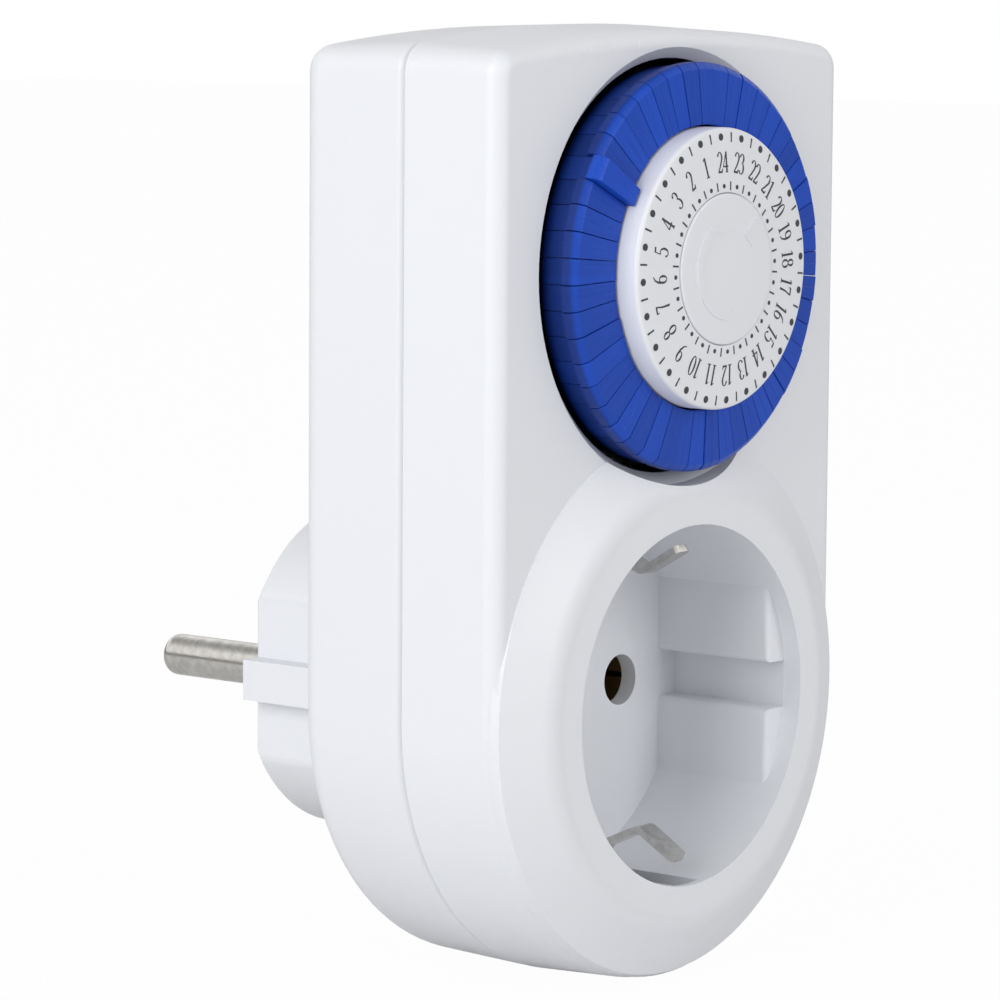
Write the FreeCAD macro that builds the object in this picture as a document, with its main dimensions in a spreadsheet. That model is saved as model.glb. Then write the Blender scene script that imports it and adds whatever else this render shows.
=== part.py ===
"""Plug-in timer switch: a wall socket adapter with a 24 hour segment dial.

The frame has +Z up, the dial and the socket face -Y, and the plug points to +Y.
Its origin is the centre of the plug's end face, midway between the two pins.
"""
import FreeCAD, Part
import math
import os
import re
import Sketcher

V = FreeCAD.Vector
doc = FreeCAD.newDocument("PlugInTimer")

# Driving dimensions in millimetres and degrees
SIZES = {
    "half_width": 31.2, "top_height": 74.35, "crown_radius": 223.0, "corner_radius": 3.3,
    "ring_y": -50.4, "panel_y": -47.1, "parting_y": -34.5, "back_y": -19.4,
    "wall_thick": 2.0, "front_draft": 2.7, "rear_draft": 1.9,
    "front_round": 2.0, "rear_round": 3.0, "parting_round": 0.9, "shadow_gap": 0.25, "gap_depth": 0.7,
    "boss_radius": 2.8, "pilot_radius": 1.3, "post_radius": 4.0, "screw_hole_radius": 1.6,
    "screw_head_radius": 3.0, "screw_head_depth": 4.0, "plate_post_radius": 2.4, "plate_pilot_radius": 0.95,
    "slope_radius": 30.5, "ring_radius": 23.2,
    "recess_radius": 20.0, "recess_depth": 17.7, "cup_radius": 21.8, "floor_thick": 2.0,
    "guide_half": 16.6, "guide_start": 2.2, "guide_round": 0.7, "key_half": 2.65, "key_reach": 19.8,
    "pin_spacing": 19.0, "pin_radius": 2.4, "pin_length": 19.0, "pin_tip": 1.2, "pin_seat": 0.1,
    "shank_radius": 2.0, "tail_radius": 1.5, "tail_length": 0.9, "hollow_radius": 5.3, "hollow_end": -10.8,
    "socket_hole_radius": 2.9, "sleeve_radius": 3.5, "sleeve_bore": 2.95,
    "plug_radius": 18.7, "plug_flat": 16.5, "plug_rib_reach": 19.2, "plug_rib_half": 2.3,
    "plug_edge": 0.8, "earth_groove_half": 3.2, "earth_groove_z": 17.7,
    "strap_half": 2.2, "strap_thick": 0.8, "clip_half": 1.3, "clip_tip_round": 0.8, "clip_slot_half": 2.3,
    "dial_z": 48.15, "opening_radius": 22.65, "opening_bevel": 1.2, "collar_thick": 1.0, "collar_back": -42.6,
    "disc_radius": 15.3, "disc_front": -54.12, "dome_radius": 205.0, "hub_radius": 8.2, "hub_rise": 0.15,
    "axle_radius": 3.0, "running_gap": 0.05,
    "segment_count": 48, "segment_joint": 0.4, "first_joint": 2.5, "proud_lift": 1.1,
    "segment_inner": 15.5, "segment_outer": 22.3, "segment_skirt": 21.8,
    "gear_module": 0.5, "dial_teeth": 68, "wheel_teeth": 36, "pinion_teeth": 12,
    "plate_front": -34.2, "plate_thick": 1.5,
    "motor_x": -12.5, "motor_z": 55.5, "motor_radius": 12.5, "motor_front": -30.2, "motor_back": -22.2,
    "switch_x": 21.65, "switch_low": 42.5, "switch_high": 62.5,
    "lever_pivot_y": -35.6, "lever_pivot_z": 61.0,
    "slider_z": 49.0, "slider_y": -29.0,
}
sheet = doc.addObject("Spreadsheet::Sheet", "sizes")
for row, (alias, value) in enumerate(SIZES.items(), start=1):
    sheet.set("A%d" % row, alias)
    sheet.set("B%d" % row, str(value))
    sheet.setAlias("B%d" % row, alias)
doc.recompute()


def size(alias):
    """The value of one cell of the sheet."""
    return float(sheet.get(alias))


def cell(text):
    """An expression with each alias of the sheet written as sizes.alias."""
    return re.sub("[a-z_]+", lambda match: ("sizes." if match[0] in SIZES else "") + match[0], text)


nodes = []


def node(obj, name):
    """Names a finished sub-part, whose label is the name of its file."""
    obj.Label = name
    nodes.append(obj)
    return obj


# Helpers for bodies, sketches and features
def new_body(name, z_alias=None):
    body = doc.addObject("PartDesign::Body", name)
    if z_alias:
        body.setExpression(".Placement.Base.z", cell(z_alias))
    return body


def sketch(body, name, role, offset="0"):
    """A sketch on one of the body's own planes. On XZ_Plane the offset counts towards -Y."""
    plane = [item for item in body.Origin.OriginFeatures if item.Role == role][0]
    item = body.newObject("Sketcher::SketchObject", name)
    item.AttachmentSupport = [(plane, "")]
    item.MapMode = "FlatFace"
    item.setExpression(".AttachmentOffset.Base.z", cell(offset))
    return item


def bind(item, kind, arguments, name, expression):
    """Adds a named constraint whose value comes from the sheet."""
    index = item.addConstraint(Sketcher.Constraint(kind, *arguments))
    item.renameConstraint(index, name)
    item.setExpression("Constraints." + name, cell(expression))


def value_of(text):
    """The number that an expression over the sheet gives."""
    return float(sheet.evalExpression(cell(text)))


def circles(item, places, radius):
    """Equal circles at the given places, with one radius from the sheet."""
    for index, (x, z) in enumerate(places):
        item.addGeometry(Part.Circle(V(x, z, 0), V(0, 0, 1), value_of(radius)))
        if index == 0:
            bind(item, "Radius", (index, value_of(radius)), "radius", radius)
        else:
            item.addConstraint(Sketcher.Constraint("Equal", 0, index))


def circle(item, name, radius, x="0", z="0"):
    """A circle whose radius and centre come from the sheet."""
    centre = V(value_of(x), value_of(z), 0)
    index = item.addGeometry(Part.Circle(centre, V(0, 0, 1), value_of(radius)))
    bind(item, "Radius", (index, value_of(radius)), name + "_radius", radius)
    for axis, text, value in (("X", x, centre.x), ("Y", z, centre.y)):
        if abs(value) < 1e-9:
            item.addConstraint(Sketcher.Constraint("PointOnObject", index, 3, -2 if axis == "X" else -1))
        else:
            sign = "" if value > 0 else "- "
            points = (-1, 1, index, 3) if value > 0 else (index, 3, -1, 1)
            label = name + "_" + axis.lower()
            bind(item, "Distance" + axis, points + (abs(value),), label, sign + "( " + text + " )")
    return index


def polygon(item, points):
    """A closed run of straight lines through points of the sketch plane."""
    corners = [V(a, b, 0) for a, b in points]
    for start, end in zip(corners, corners[1:] + corners[:1]):
        item.addGeometry(Part.LineSegment(start, end))
    count = len(corners)
    first = item.GeometryCount - count
    for index in range(count):
        item.addConstraint(Sketcher.Constraint("Coincident", first + index, 2, first + (index + 1) % count, 1))


def rectangle(item, left, right, low, high):
    polygon(item, [(left, low), (right, low), (right, high), (left, high)])


def feature(body, kind, profile, name, **values):
    item = body.newObject("PartDesign::" + kind, name)
    item.Profile = profile
    for key, value in values.items():
        if isinstance(value, str) and key in ("Length", "Angle", "TaperAngle"):
            item.setExpression(key, cell(value))
        else:
            setattr(item, key, value)
    body.Tip = item
    doc.recompute()
    return item


def edges_where(shape, test):
    return ["Edge%d" % number for number, edge in enumerate(shape.Edges, start=1) if test(edge)]


def dress(body, kind, base, name, test, expression):
    """A fillet or chamfer on the edges that pass the test."""
    item = body.newObject("PartDesign::" + kind, name)
    item.Base = (base, edges_where(base.Shape, test))
    item.setExpression("Radius" if kind == "Fillet" else "Size", cell(expression))
    body.Tip = item
    doc.recompute()
    return item


def at_y(level):
    return lambda edge: max(abs(vertex.Point.y - level) for vertex in edge.Vertexes) < 1e-4


def outline(body, name, y, inset):
    """The case's outline: a half circle below, straight sides and a crowned top with round corners."""
    item = sketch(body, name, "XZ_Plane", "- ( " + y + " )")
    amount = value_of(inset)
    radius = size("half_width") - amount
    corner = max(size("corner_radius") - amount, 1.0)
    crown = size("crown_radius") - amount
    centre_z = size("top_height") - size("crown_radius")
    reach = math.asin((radius - corner) / (crown - corner))
    side_top = centre_z + (crown - corner) * math.cos(reach)
    up = V(0, 0, 1)
    arc = lambda centre, r, start, end: Part.ArcOfCircle(Part.Circle(centre, up, r), start, end)
    item.addGeometry(arc(V(0, 0, 0), radius, math.pi, 2 * math.pi))
    item.addGeometry(Part.LineSegment(V(radius, 0, 0), V(radius, side_top, 0)))
    item.addGeometry(arc(V(radius - corner, side_top, 0), corner, 0, math.pi / 2 - reach))
    item.addGeometry(arc(V(0, centre_z, 0), crown, math.pi / 2 - reach, math.pi / 2 + reach))
    item.addGeometry(arc(V(corner - radius, side_top, 0), corner, math.pi / 2 + reach, math.pi))
    item.addGeometry(Part.LineSegment(V(-radius, side_top, 0), V(-radius, 0, 0)))
    for index in range(6):
        item.addConstraint(Sketcher.Constraint("Tangent", index, 2, (index + 1) % 6, 1))
    item.addConstraint(Sketcher.Constraint("Coincident", 0, 3, -1, 1))
    item.addConstraint(Sketcher.Constraint("Vertical", 1))
    item.addConstraint(Sketcher.Constraint("Vertical", 5))
    item.addConstraint(Sketcher.Constraint("PointOnObject", 3, 3, -2))
    item.addConstraint(Sketcher.Constraint("Equal", 2, 4))
    bind(item, "Radius", (0, radius), "bottom", "half_width - ( " + inset + " )")
    bind(item, "Radius", (2, corner), "corner", "max(corner_radius - (" + inset + "); 1)")
    bind(item, "Radius", (3, crown), "crown", "crown_radius - ( " + inset + " )")
    bind(item, "DistanceY", (3, 3, -1, 1, -centre_z), "crown_drop", "crown_radius - top_height")
    return item


# Front cover: the moulded face with the socket recess and the round window of the dial
plate_places = [(-26.0, 33.0), (6.0, 68.0), (25.5, 30.0)]
screw_places = [(-25.5, 67.3), (25.5, 67.3), (-25.6, 10.0), (25.6, 10.0)]
floor_front = size("ring_y") + size("recess_depth")
cup_back = floor_front + size("floor_thick")

front = new_body("FrontCover")
base = feature(front, "Pad", outline(front, "FrontOutline", "parting_y - shadow_gap", "0"), "FrontBlock",
               Length="parting_y - shadow_gap - panel_y", TaperAngle="- front_draft")
dress(front, "Fillet", base, "FrontRounding", at_y(size("panel_y")), "front_round")
feature(front, "Pad", outline(front, "FrontLipOutline", "parting_y", "gap_depth"), "FrontLip",
        Length="shadow_gap + 0.5")
feature(front, "Pocket", outline(front, "FrontHollowOutline", "parting_y", "wall_thick"), "FrontHollow",
        Length="parting_y - panel_y - wall_thick", TaperAngle="- front_draft", Reversed=True)

socket_profile = sketch(front, "SocketProfile", "YZ_Plane")
polygon(socket_profile, [
    (size("ring_y"), 15.0), (size("ring_y"), size("ring_radius")),
    (size("panel_y") - 0.15, size("slope_radius") - 0.35), (size("panel_y") + 0.5, size("slope_radius")),
    (size("panel_y") + 1.6, size("slope_radius")), (size("panel_y") + 1.6, size("cup_radius")),
    (cup_back, size("cup_radius")), (cup_back, 0.0), (floor_front - 0.5, 0.0), (floor_front - 0.5, 15.0)])
feature(front, "Revolution", socket_profile, "SocketBoss",
        ReferenceAxis=(socket_profile, ["H_Axis"]), Angle=360.0)

recess_mouth = sketch(front, "RecessMouth", "XZ_Plane", "- ring_y + 1")
circle(recess_mouth, "mouth", "recess_radius")
feature(front, "Pocket", recess_mouth, "RecessMouthPocket", Length="guide_start + 1")

recess = sketch(front, "RecessOutline", "XZ_Plane", "- ring_y + 1")
guide_z = math.sqrt(size("recess_radius") ** 2 - size("guide_half") ** 2)
guide_angle = math.atan2(guide_z, size("guide_half"))
for start in (guide_angle, math.pi + guide_angle):
    recess.addGeometry(Part.ArcOfCircle(Part.Circle(V(0, 0, 0), V(0, 0, 1), size("recess_radius")),
                                        start, start + math.pi - 2 * guide_angle))
for side in (1, -1):
    steps = [(size("guide_half"), guide_z), (size("guide_half"), size("key_half")),
             (size("key_reach"), size("key_half")), (size("key_reach"), -size("key_half")),
             (size("guide_half"), -size("key_half")), (size("guide_half"), -guide_z)]
    for one, two in zip(steps, steps[1:]):
        recess.addGeometry(Part.LineSegment(V(side * one[0], one[1], 0), V(side * two[0], two[1], 0)))
base = feature(front, "Pocket", recess, "RecessPocket", Length="recess_depth + 1")


def on_guide(edge):
    """True on the guide blocks' front edges and on the long edges of the key slots."""
    ends = [vertex.Point for vertex in edge.Vertexes]
    if any(abs(abs(end.x) - size("guide_half")) > 1e-4 for end in ends):
        return False
    at_front = all(abs(end.y - size("ring_y") - size("guide_start")) < 1e-4 for end in ends)
    at_slot = all(abs(abs(end.z) - size("key_half")) < 1e-4 for end in ends)
    return len(ends) == 2 and (at_front or (at_slot and edge.Length > size("key_half") * 2.5))


dress(front, "Fillet", base, "GuideRounding", on_guide, "guide_round")

pin_holes = sketch(front, "SocketHoles", "XZ_Plane", "- ring_y + 1")
circle(pin_holes, "right", "socket_hole_radius", x="pin_spacing / 2")
circle(pin_holes, "left", "socket_hole_radius", x="- pin_spacing / 2")
feature(front, "Pocket", pin_holes, "SocketHolePocket", Length="recess_depth + floor_thick + 2")

clip_slots = sketch(front, "ClipSlots", "XZ_Plane", "- ring_y - 0.9")
for side in (1, -1):
    low, high = sorted((side * 18.4, side * (size("cup_radius") + 0.6)))
    rectangle(clip_slots, -size("clip_slot_half"), size("clip_slot_half"), low, high)
feature(front, "Pocket", clip_slots, "ClipSlotPocket", Length="recess_depth + floor_thick")

collar = sketch(front, "DialCollar", "XZ_Plane", "- collar_back")
circle(collar, "outer", "opening_radius + collar_thick", z="dial_z")
feature(front, "Pad", collar, "DialCollarPad", Length="collar_back - panel_y - 0.2")
opening = sketch(front, "DialOpening", "XZ_Plane", "- ring_y + 1")
circle(opening, "opening", "opening_radius", z="dial_z")
feature(front, "Pocket", opening, "DialOpeningPocket", Length="12")
bevel = sketch(front, "DialBevel", "XZ_Plane", "- panel_y - opening_bevel")
circle(bevel, "bevel", "opening_radius", z="dial_z")
feature(front, "Pocket", bevel, "DialBevelPocket", Length="opening_bevel", TaperAngle="45", Reversed=True)
rim = sketch(front, "DialRim", "XZ_Plane", "- panel_y - 0.01")
circle(rim, "rim", "opening_radius + opening_bevel", z="dial_z")
feature(front, "Pocket", rim, "DialRimPocket", Length="5", Reversed=True)

bosses = sketch(front, "ScrewBosses", "XZ_Plane", "- parting_y + 0.2")
circles(bosses, screw_places, "boss_radius")
feature(front, "Pad", bosses, "ScrewBossPad", Length="parting_y - panel_y - wall_thick + 0.8")
pilots = sketch(front, "ScrewPilots", "XZ_Plane", "- parting_y + 0.1")
circles(pilots, screw_places, "pilot_radius")
feature(front, "Pocket", pilots, "ScrewPilotPocket", Length="9", Reversed=True)
node(front, "front_cover")

# Rear cover: the moulded back with the plug, whose flats and ribs key it into a wall socket
rear = new_body("RearCover")
base = feature(rear, "Pad", outline(rear, "RearOutline", "parting_y", "0"), "RearBlock",
               Length="back_y - parting_y", TaperAngle="- rear_draft", Reversed=True)
base = dress(rear, "Fillet", base, "RearRounding", at_y(size("back_y")), "rear_round")
dress(rear, "Fillet", base, "PartingRounding", at_y(size("parting_y")), "parting_round")
feature(rear, "Pocket", outline(rear, "RearHollowOutline", "parting_y", "wall_thick"), "RearHollow",
        Length="back_y - parting_y - wall_thick", TaperAngle="- rear_draft")

plug = sketch(rear, "PlugOutline", "XZ_Plane", "- back_y + 0.5")
flat_angle = math.acos(size("plug_flat") / size("plug_radius"))
flat_z = size("plug_radius") * math.sin(flat_angle)
for start in (flat_angle, math.pi + flat_angle):
    plug.addGeometry(Part.ArcOfCircle(Part.Circle(V(0, 0, 0), V(0, 0, 1), size("plug_radius")),
                                      start, start + math.pi - 2 * flat_angle))
for side in (1, -1):
    flat_x = side * size("plug_flat")
    plug.addGeometry(Part.LineSegment(V(flat_x, flat_z, 0), V(flat_x, -flat_z, 0)))
boss = feature(rear, "Pad", plug, "PlugBoss", Length="- back_y + 0.5", Reversed=True)
dress(rear, "Chamfer", boss, "PlugEdge", at_y(0.0), "plug_edge")
rib = sketch(rear, "PlugRib", "XZ_Plane", "- back_y + 0.5")
rectangle(rib, -size("plug_rib_reach"), size("plug_rib_reach"), -size("plug_rib_half"), size("plug_rib_half"))
feature(rear, "Pad", rib, "PlugRibPad", Length="- back_y - 0.4", Reversed=True)
grooves = sketch(rear, "EarthGrooves", "XZ_Plane", "3.4")
for side in (1, -1):
    low, high = sorted((side * size("earth_groove_z"), side * (size("plug_radius") + 0.6)))
    rectangle(grooves, -size("earth_groove_half"), size("earth_groove_half"), low, high)
feature(rear, "Pocket", grooves, "EarthGroovePocket", Length="- back_y + wall_thick", Reversed=True)
bores = sketch(rear, "PinBores", "XZ_Plane", "- 1")
circle(bores, "right", "shank_radius", x="pin_spacing / 2")
circle(bores, "left", "shank_radius", x="- pin_spacing / 2")
feature(rear, "Pocket", bores, "PinBorePocket", Length="30", Reversed=True)
seats = sketch(rear, "PinSeats", "XZ_Plane", "- 1")
circle(seats, "right", "pin_radius", x="pin_spacing / 2")
circle(seats, "left", "pin_radius", x="- pin_spacing / 2")
feature(rear, "Pocket", seats, "PinSeatPocket", Length="pin_seat + 1", Reversed=True)
hollows = sketch(rear, "ContactHollows", "XZ_Plane", "- back_y + wall_thick + 1")
circle(hollows, "right", "hollow_radius", x="pin_spacing / 2")
circle(hollows, "left", "hollow_radius", x="- pin_spacing / 2")
feature(rear, "Pocket", hollows, "ContactHollowPocket", Length="hollow_end - back_y + wall_thick + 1")

posts = sketch(rear, "ScrewPosts", "XZ_Plane", "- back_y + 1")
circles(posts, screw_places, "post_radius")
feature(rear, "Pad", posts, "ScrewPostPad", Length="back_y - parting_y - 1")
plate_posts = sketch(rear, "PlatePosts", "XZ_Plane", "- back_y + 1")
circles(plate_posts, plate_places, "plate_post_radius")
feature(rear, "Pad", plate_posts, "PlatePostPad", Length="back_y - plate_front - plate_thick - 1")
clear_holes = sketch(rear, "ScrewHoles", "XZ_Plane", "- back_y - 1")
circles(clear_holes, screw_places, "screw_hole_radius")
feature(rear, "Pocket", clear_holes, "ScrewHolePocket", Length="20", Reversed=True)
head_holes = sketch(rear, "ScrewHeadHoles", "XZ_Plane", "- back_y - 1")
circles(head_holes, screw_places, "screw_head_radius")
feature(rear, "Pocket", head_holes, "ScrewHeadPocket", Length="screw_head_depth + 1", Reversed=True)
plate_pilots = sketch(rear, "PlatePilots", "XZ_Plane", "- plate_front - plate_thick + 1")
circles(plate_pilots, plate_places, "plate_pilot_radius")
feature(rear, "Pocket", plate_pilots, "PlatePilotPocket", Length="8")
slot = sketch(rear, "SliderSlot", "YZ_Plane", "27")
rectangle(slot, size("slider_y") - 1.6, size("slider_y") + 1.6, size("slider_z") - 2.1, size("slider_z") + 6.1)
feature(rear, "Pocket", slot, "SliderSlotPocket", Length="8", Reversed=True)
node(rear, "rear_cover")


# Helpers for pieces made from plain solids
def solid(kind, name, **values):
    """A Part primitive whose named sizes are expressions over the sheet."""
    item = doc.addObject("Part::" + kind, name)
    for key, text in values.items():
        item.setExpression(key.replace("_", "."), cell(str(text)))
    return item


def rod(name, radius, start, end, x="0", z="0"):
    """A round bar that runs along Y from start to end."""
    item = solid("Cylinder", name, Radius=radius, Height="(" + end + ") - (" + start + ")")
    item.Placement = FreeCAD.Placement(V(), FreeCAD.Rotation(V(1, 0, 0), -90))
    for axis, text in (("x", x), ("y", start), ("z", z)):
        item.setExpression(".Placement.Base." + axis, cell(text))
    return item


def cut(name, base, *tools):
    tool = join(name + "Tools", *tools) if len(tools) > 1 else tools[0]
    item = doc.addObject("Part::Cut", name)
    item.Base, item.Tool = base, tool
    return item


def join(name, *parts):
    item = doc.addObject("Part::MultiFuse", name)
    item.Shapes = list(parts)
    return item


def raw(name, shape):
    """A piece whose shape comes from a formula."""
    item = doc.addObject("Part::Feature", name)
    item.Shape = shape
    return item


def turned(points, z, start=0.0, angle=360.0):
    """A solid turned about the Y axis through height z, from (y, radius) points."""
    corners = [V(radius, y, 0) for y, radius in points]
    face = Part.Face(Part.makePolygon(corners + corners[:1]))
    shape = face.revolve(V(0, 0, 0), V(0, -1, 0), angle)
    shape.rotate(V(0, 0, 0), V(0, -1, 0), start)
    shape.translate(V(0, 0, z))
    return shape


def strip(points, thick, width, plane, place):
    """A bent metal strip: a centre line in one plane, given a thickness and a width."""
    sides = [[], []]
    for index, point in enumerate(points):
        before = points[max(index - 1, 0)]
        after = points[min(index + 1, len(points) - 1)]
        one = (point[0] - before[0], point[1] - before[1])
        two = (after[0] - point[0], after[1] - point[1])
        one = one if any(one) else two
        two = two if any(two) else one
        one_length, two_length = math.hypot(*one), math.hypot(*two)
        normals = [(-one[1] / one_length, one[0] / one_length), (-two[1] / two_length, two[0] / two_length)]
        sum_x, sum_y = normals[0][0] + normals[1][0], normals[0][1] + normals[1][1]
        scale = thick / (sum_x ** 2 + sum_y ** 2)
        sides[0].append((point[0] + sum_x * scale, point[1] + sum_y * scale))
        sides[1].append((point[0] - sum_x * scale, point[1] - sum_y * scale))
    ring = sides[0] + sides[1][::-1]
    lift = {"YZ": lambda a, b: V(place - width / 2, a, b), "XZ": lambda a, b: V(a, place - width / 2, b)}[plane]
    direction = {"YZ": V(width, 0, 0), "XZ": V(0, width, 0)}[plane]
    corners = [lift(a, b) for a, b in ring]
    return Part.Face(Part.makePolygon(corners + corners[:1])).extrude(direction)


# Case screws: four self-tapping screws from the back, with a cross in each head
screw_radius, screw_length, head_radius, head_height = 1.25, 17.5, 2.7, 2.0
cross_width, cross_length, cross_depth = 0.7, 4.0, 0.8
head_floor = size("back_y") - size("screw_head_depth")
cross_floor = head_floor + head_height - cross_depth
screw_shapes = []
for x, z in screw_places:
    shank = Part.makeCylinder(screw_radius, screw_length, V(x, head_floor - screw_length, z), V(0, 1, 0))
    head = Part.makeCylinder(head_radius, head_height, V(x, head_floor, z), V(0, 1, 0))
    upright = Part.makeBox(cross_width, head_height, cross_length,
                           V(x - cross_width / 2, cross_floor, z - cross_length / 2))
    level = Part.makeBox(cross_length, head_height, cross_width,
                         V(x - cross_length / 2, cross_floor, z - cross_width / 2))
    screw_shapes.append(shank.fuse(head).cut(upright).cut(level).removeSplitter())
node(raw("CaseScrews", Part.makeCompound(screw_shapes)), "case_screws")

# Plug pins: solid brass pins whose narrower shanks are moulded into the plug
for name, sign in (("live", ""), ("neutral", "- ")):
    place = sign + "pin_spacing / 2"
    pin = rod(name + "_pin_body", "pin_radius", "- pin_seat", "pin_length", x=place)
    rounded = doc.addObject("Part::Fillet", name + "_pin_round")
    rounded.Base = pin
    doc.recompute()
    tip = [number for number, edge in enumerate(pin.Shape.Edges, start=1)
           if edge.BoundBox.YMin > size("pin_length") - 1e-4 and edge.Length > 10]
    rounded.Edges = [(number, size("pin_tip"), size("pin_tip")) for number in tip]
    shank = rod(name + "_pin_shank", "shank_radius", "hollow_end", "- pin_seat", x=place)
    tail = rod(name + "_pin_tail", "tail_radius", "hollow_end - tail_length", "hollow_end", x=place)
    node(join(name + "_pin_fuse", rounded, shank, tail), name + "_pin")

# Socket contacts: long slit brass sleeves, deep enough for the pins of the plug that goes in
sleeve_to_tab, slit_length, slit_width = 1.4, 13.0, 0.7
contact_front = cup_back
contact_length = size("hollow_end") - sleeve_to_tab - contact_front
pin_x = size("pin_spacing") / 2
sleeve_radius = size("sleeve_radius")
for name, side in (("live", 1), ("neutral", -1)):
    sleeve_start = V(side * pin_x, contact_front, 0)
    sleeve = Part.makeCylinder(sleeve_radius, contact_length, sleeve_start, V(0, 1, 0))
    bore = Part.makeCylinder(size("sleeve_bore"), contact_length, sleeve_start, V(0, 1, 0))
    slit = Part.makeBox(3 * sleeve_radius, slit_length, slit_width,
                        V(side * pin_x - 1.5 * sleeve_radius, contact_front, -slit_width / 2))
    node(raw(name + "_sleeve", sleeve.cut(bore).cut(slit)), name + "_socket_contact")

# Bars that join the pins, the switch and the socket contacts
bar_thick, bar_width, tab_width = 0.6, 4.0, 4.2
tab_inner, tab_outer, riser_out = 2.2, 4.6, 4.2
input_y, output_y = -22.1, -25.1
tab_y = size("hollow_end") - bar_thick
rivet_hole = Part.makeCylinder(size("tail_radius"), 2.0, V(pin_x, size("hollow_end") - 1.5, 0), V(0, 1, 0))
tab = Part.makeBox(tab_inner + tab_outer, bar_thick, tab_width, V(pin_x - tab_inner, tab_y, -tab_width / 2))
riser = Part.makeBox(bar_thick, tab_y - input_y, tab_width, V(pin_x + riser_out, input_y, -tab_width / 2))
input_path = [(15.25, -2.4), (15.25, 24.0), (21.6, 34.0), (21.6, 46.0)]
input_bar = strip(input_path, bar_width, bar_thick, "XZ", input_y)
input_bar = input_bar.fuse([riser, tab]).cut(rivet_hole)
node(raw("InputBar", input_bar.removeSplitter()), "live_input_bar")
output_path = [(15.05, -2.4), (15.05, 24.0), (21.6, 34.0), (21.6, 42.5)]
node(raw("OutputBar", strip(output_path, bar_width, bar_thick, "XZ", output_y)), "live_output_bar")
neutral_reach, riser_height = sleeve_radius + bar_thick, 8.0
neutral_tab = Part.makeBox(neutral_reach + tab_inner, bar_thick, tab_width,
                           V(-pin_x - neutral_reach, tab_y, -tab_width / 2))
neutral_riser = Part.makeBox(bar_thick, riser_height, tab_width,
                             V(-pin_x - neutral_reach, tab_y - riser_height, -tab_width / 2))
neutral_bar = neutral_tab.cut(rivet_hole.mirror(V(), V(1, 0, 0))).fuse(neutral_riser)
node(raw("NeutralBar", neutral_bar.removeSplitter()), "neutral_bar")


# Earth strap: one springy strap that joins the plug's side contacts to the two clips of the socket
def bent(points, radius, steps=5):
    """The points of a centre line with each corner replaced by a bend of the given radius."""
    line = [points[0]]
    for before, corner, after in zip(points, points[1:], points[2:]):
        one = V(before[0] - corner[0], before[1] - corner[1], 0).normalize()
        two = V(after[0] - corner[0], after[1] - corner[1], 0).normalize()
        half_angle = one.getAngle(two) / 2
        centre = V(corner[0], corner[1], 0) + (one + two).normalize() * (radius / math.sin(half_angle))
        start = V(corner[0], corner[1], 0) + one * (radius / math.tan(half_angle)) - centre
        turn = math.degrees(math.pi - 2 * half_angle)
        turn = turn if one.cross(two).z < 0 else -turn
        for step in range(steps + 1):
            spot = centre + FreeCAD.Rotation(V(0, 0, 1), turn * step / steps).multVec(start)
            line.append((spot.x, spot.y))
    return line + [points[-1]]


strap_z, strap_base, clip_root, leg_z, leg_length, bend_radius = 19.6, -28.8, -33.5, 18.2, 24.6, 0.9
strap_thick, strap_width, clip_width = size("strap_thick"), 2 * size("strap_half"), 2 * size("clip_half")
base_line = [(strap_base, 0.0), (strap_base, strap_z), (clip_root, strap_z)]
clip_corners = [(clip_root + 0.5, strap_z), (-36.4, strap_z), (-38.4, 16.8), (-43.7, 14.4), (-48.6, 17.3)]
clip_line = bent(clip_corners, bend_radius)
clip_tip = clip_line[-1]


def at_tip(edge):
    """True on the two short edges that cross the thickness of a clip's tip."""
    spot = edge.CenterOfMass
    return abs(edge.Length - strap_thick) < 1e-3 and math.dist((spot.y, abs(spot.z)), clip_tip) < 0.2


strap_parts = []
for side in (1, -1):
    leg = strip([(y, side * z) for y, z in base_line], strap_thick, strap_width, "YZ", 0)
    clip = strip([(y, side * z) for y, z in clip_line], strap_thick, clip_width, "YZ", 0)
    clip = clip.makeFillet(size("clip_tip_round"), [edge for edge in clip.Edges if at_tip(edge)])
    back_leg = Part.makeBox(strap_width, leg_length, strap_thick,
                            V(-strap_width / 2, strap_base, side * leg_z - strap_thick / 2))
    strap_parts += [leg, clip, back_leg]
strap_shape = strap_parts[0].fuse(strap_parts[1:])
node(raw("EarthStrap", strap_shape.removeSplitter()), "earth_strap")

# Gears: straight teeth with a backlash, from one formula
PRESSURE = math.radians(25)
ADDENDUM, DEDENDUM, BACKLASH = 0.85, 1.1, 0.06


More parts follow.
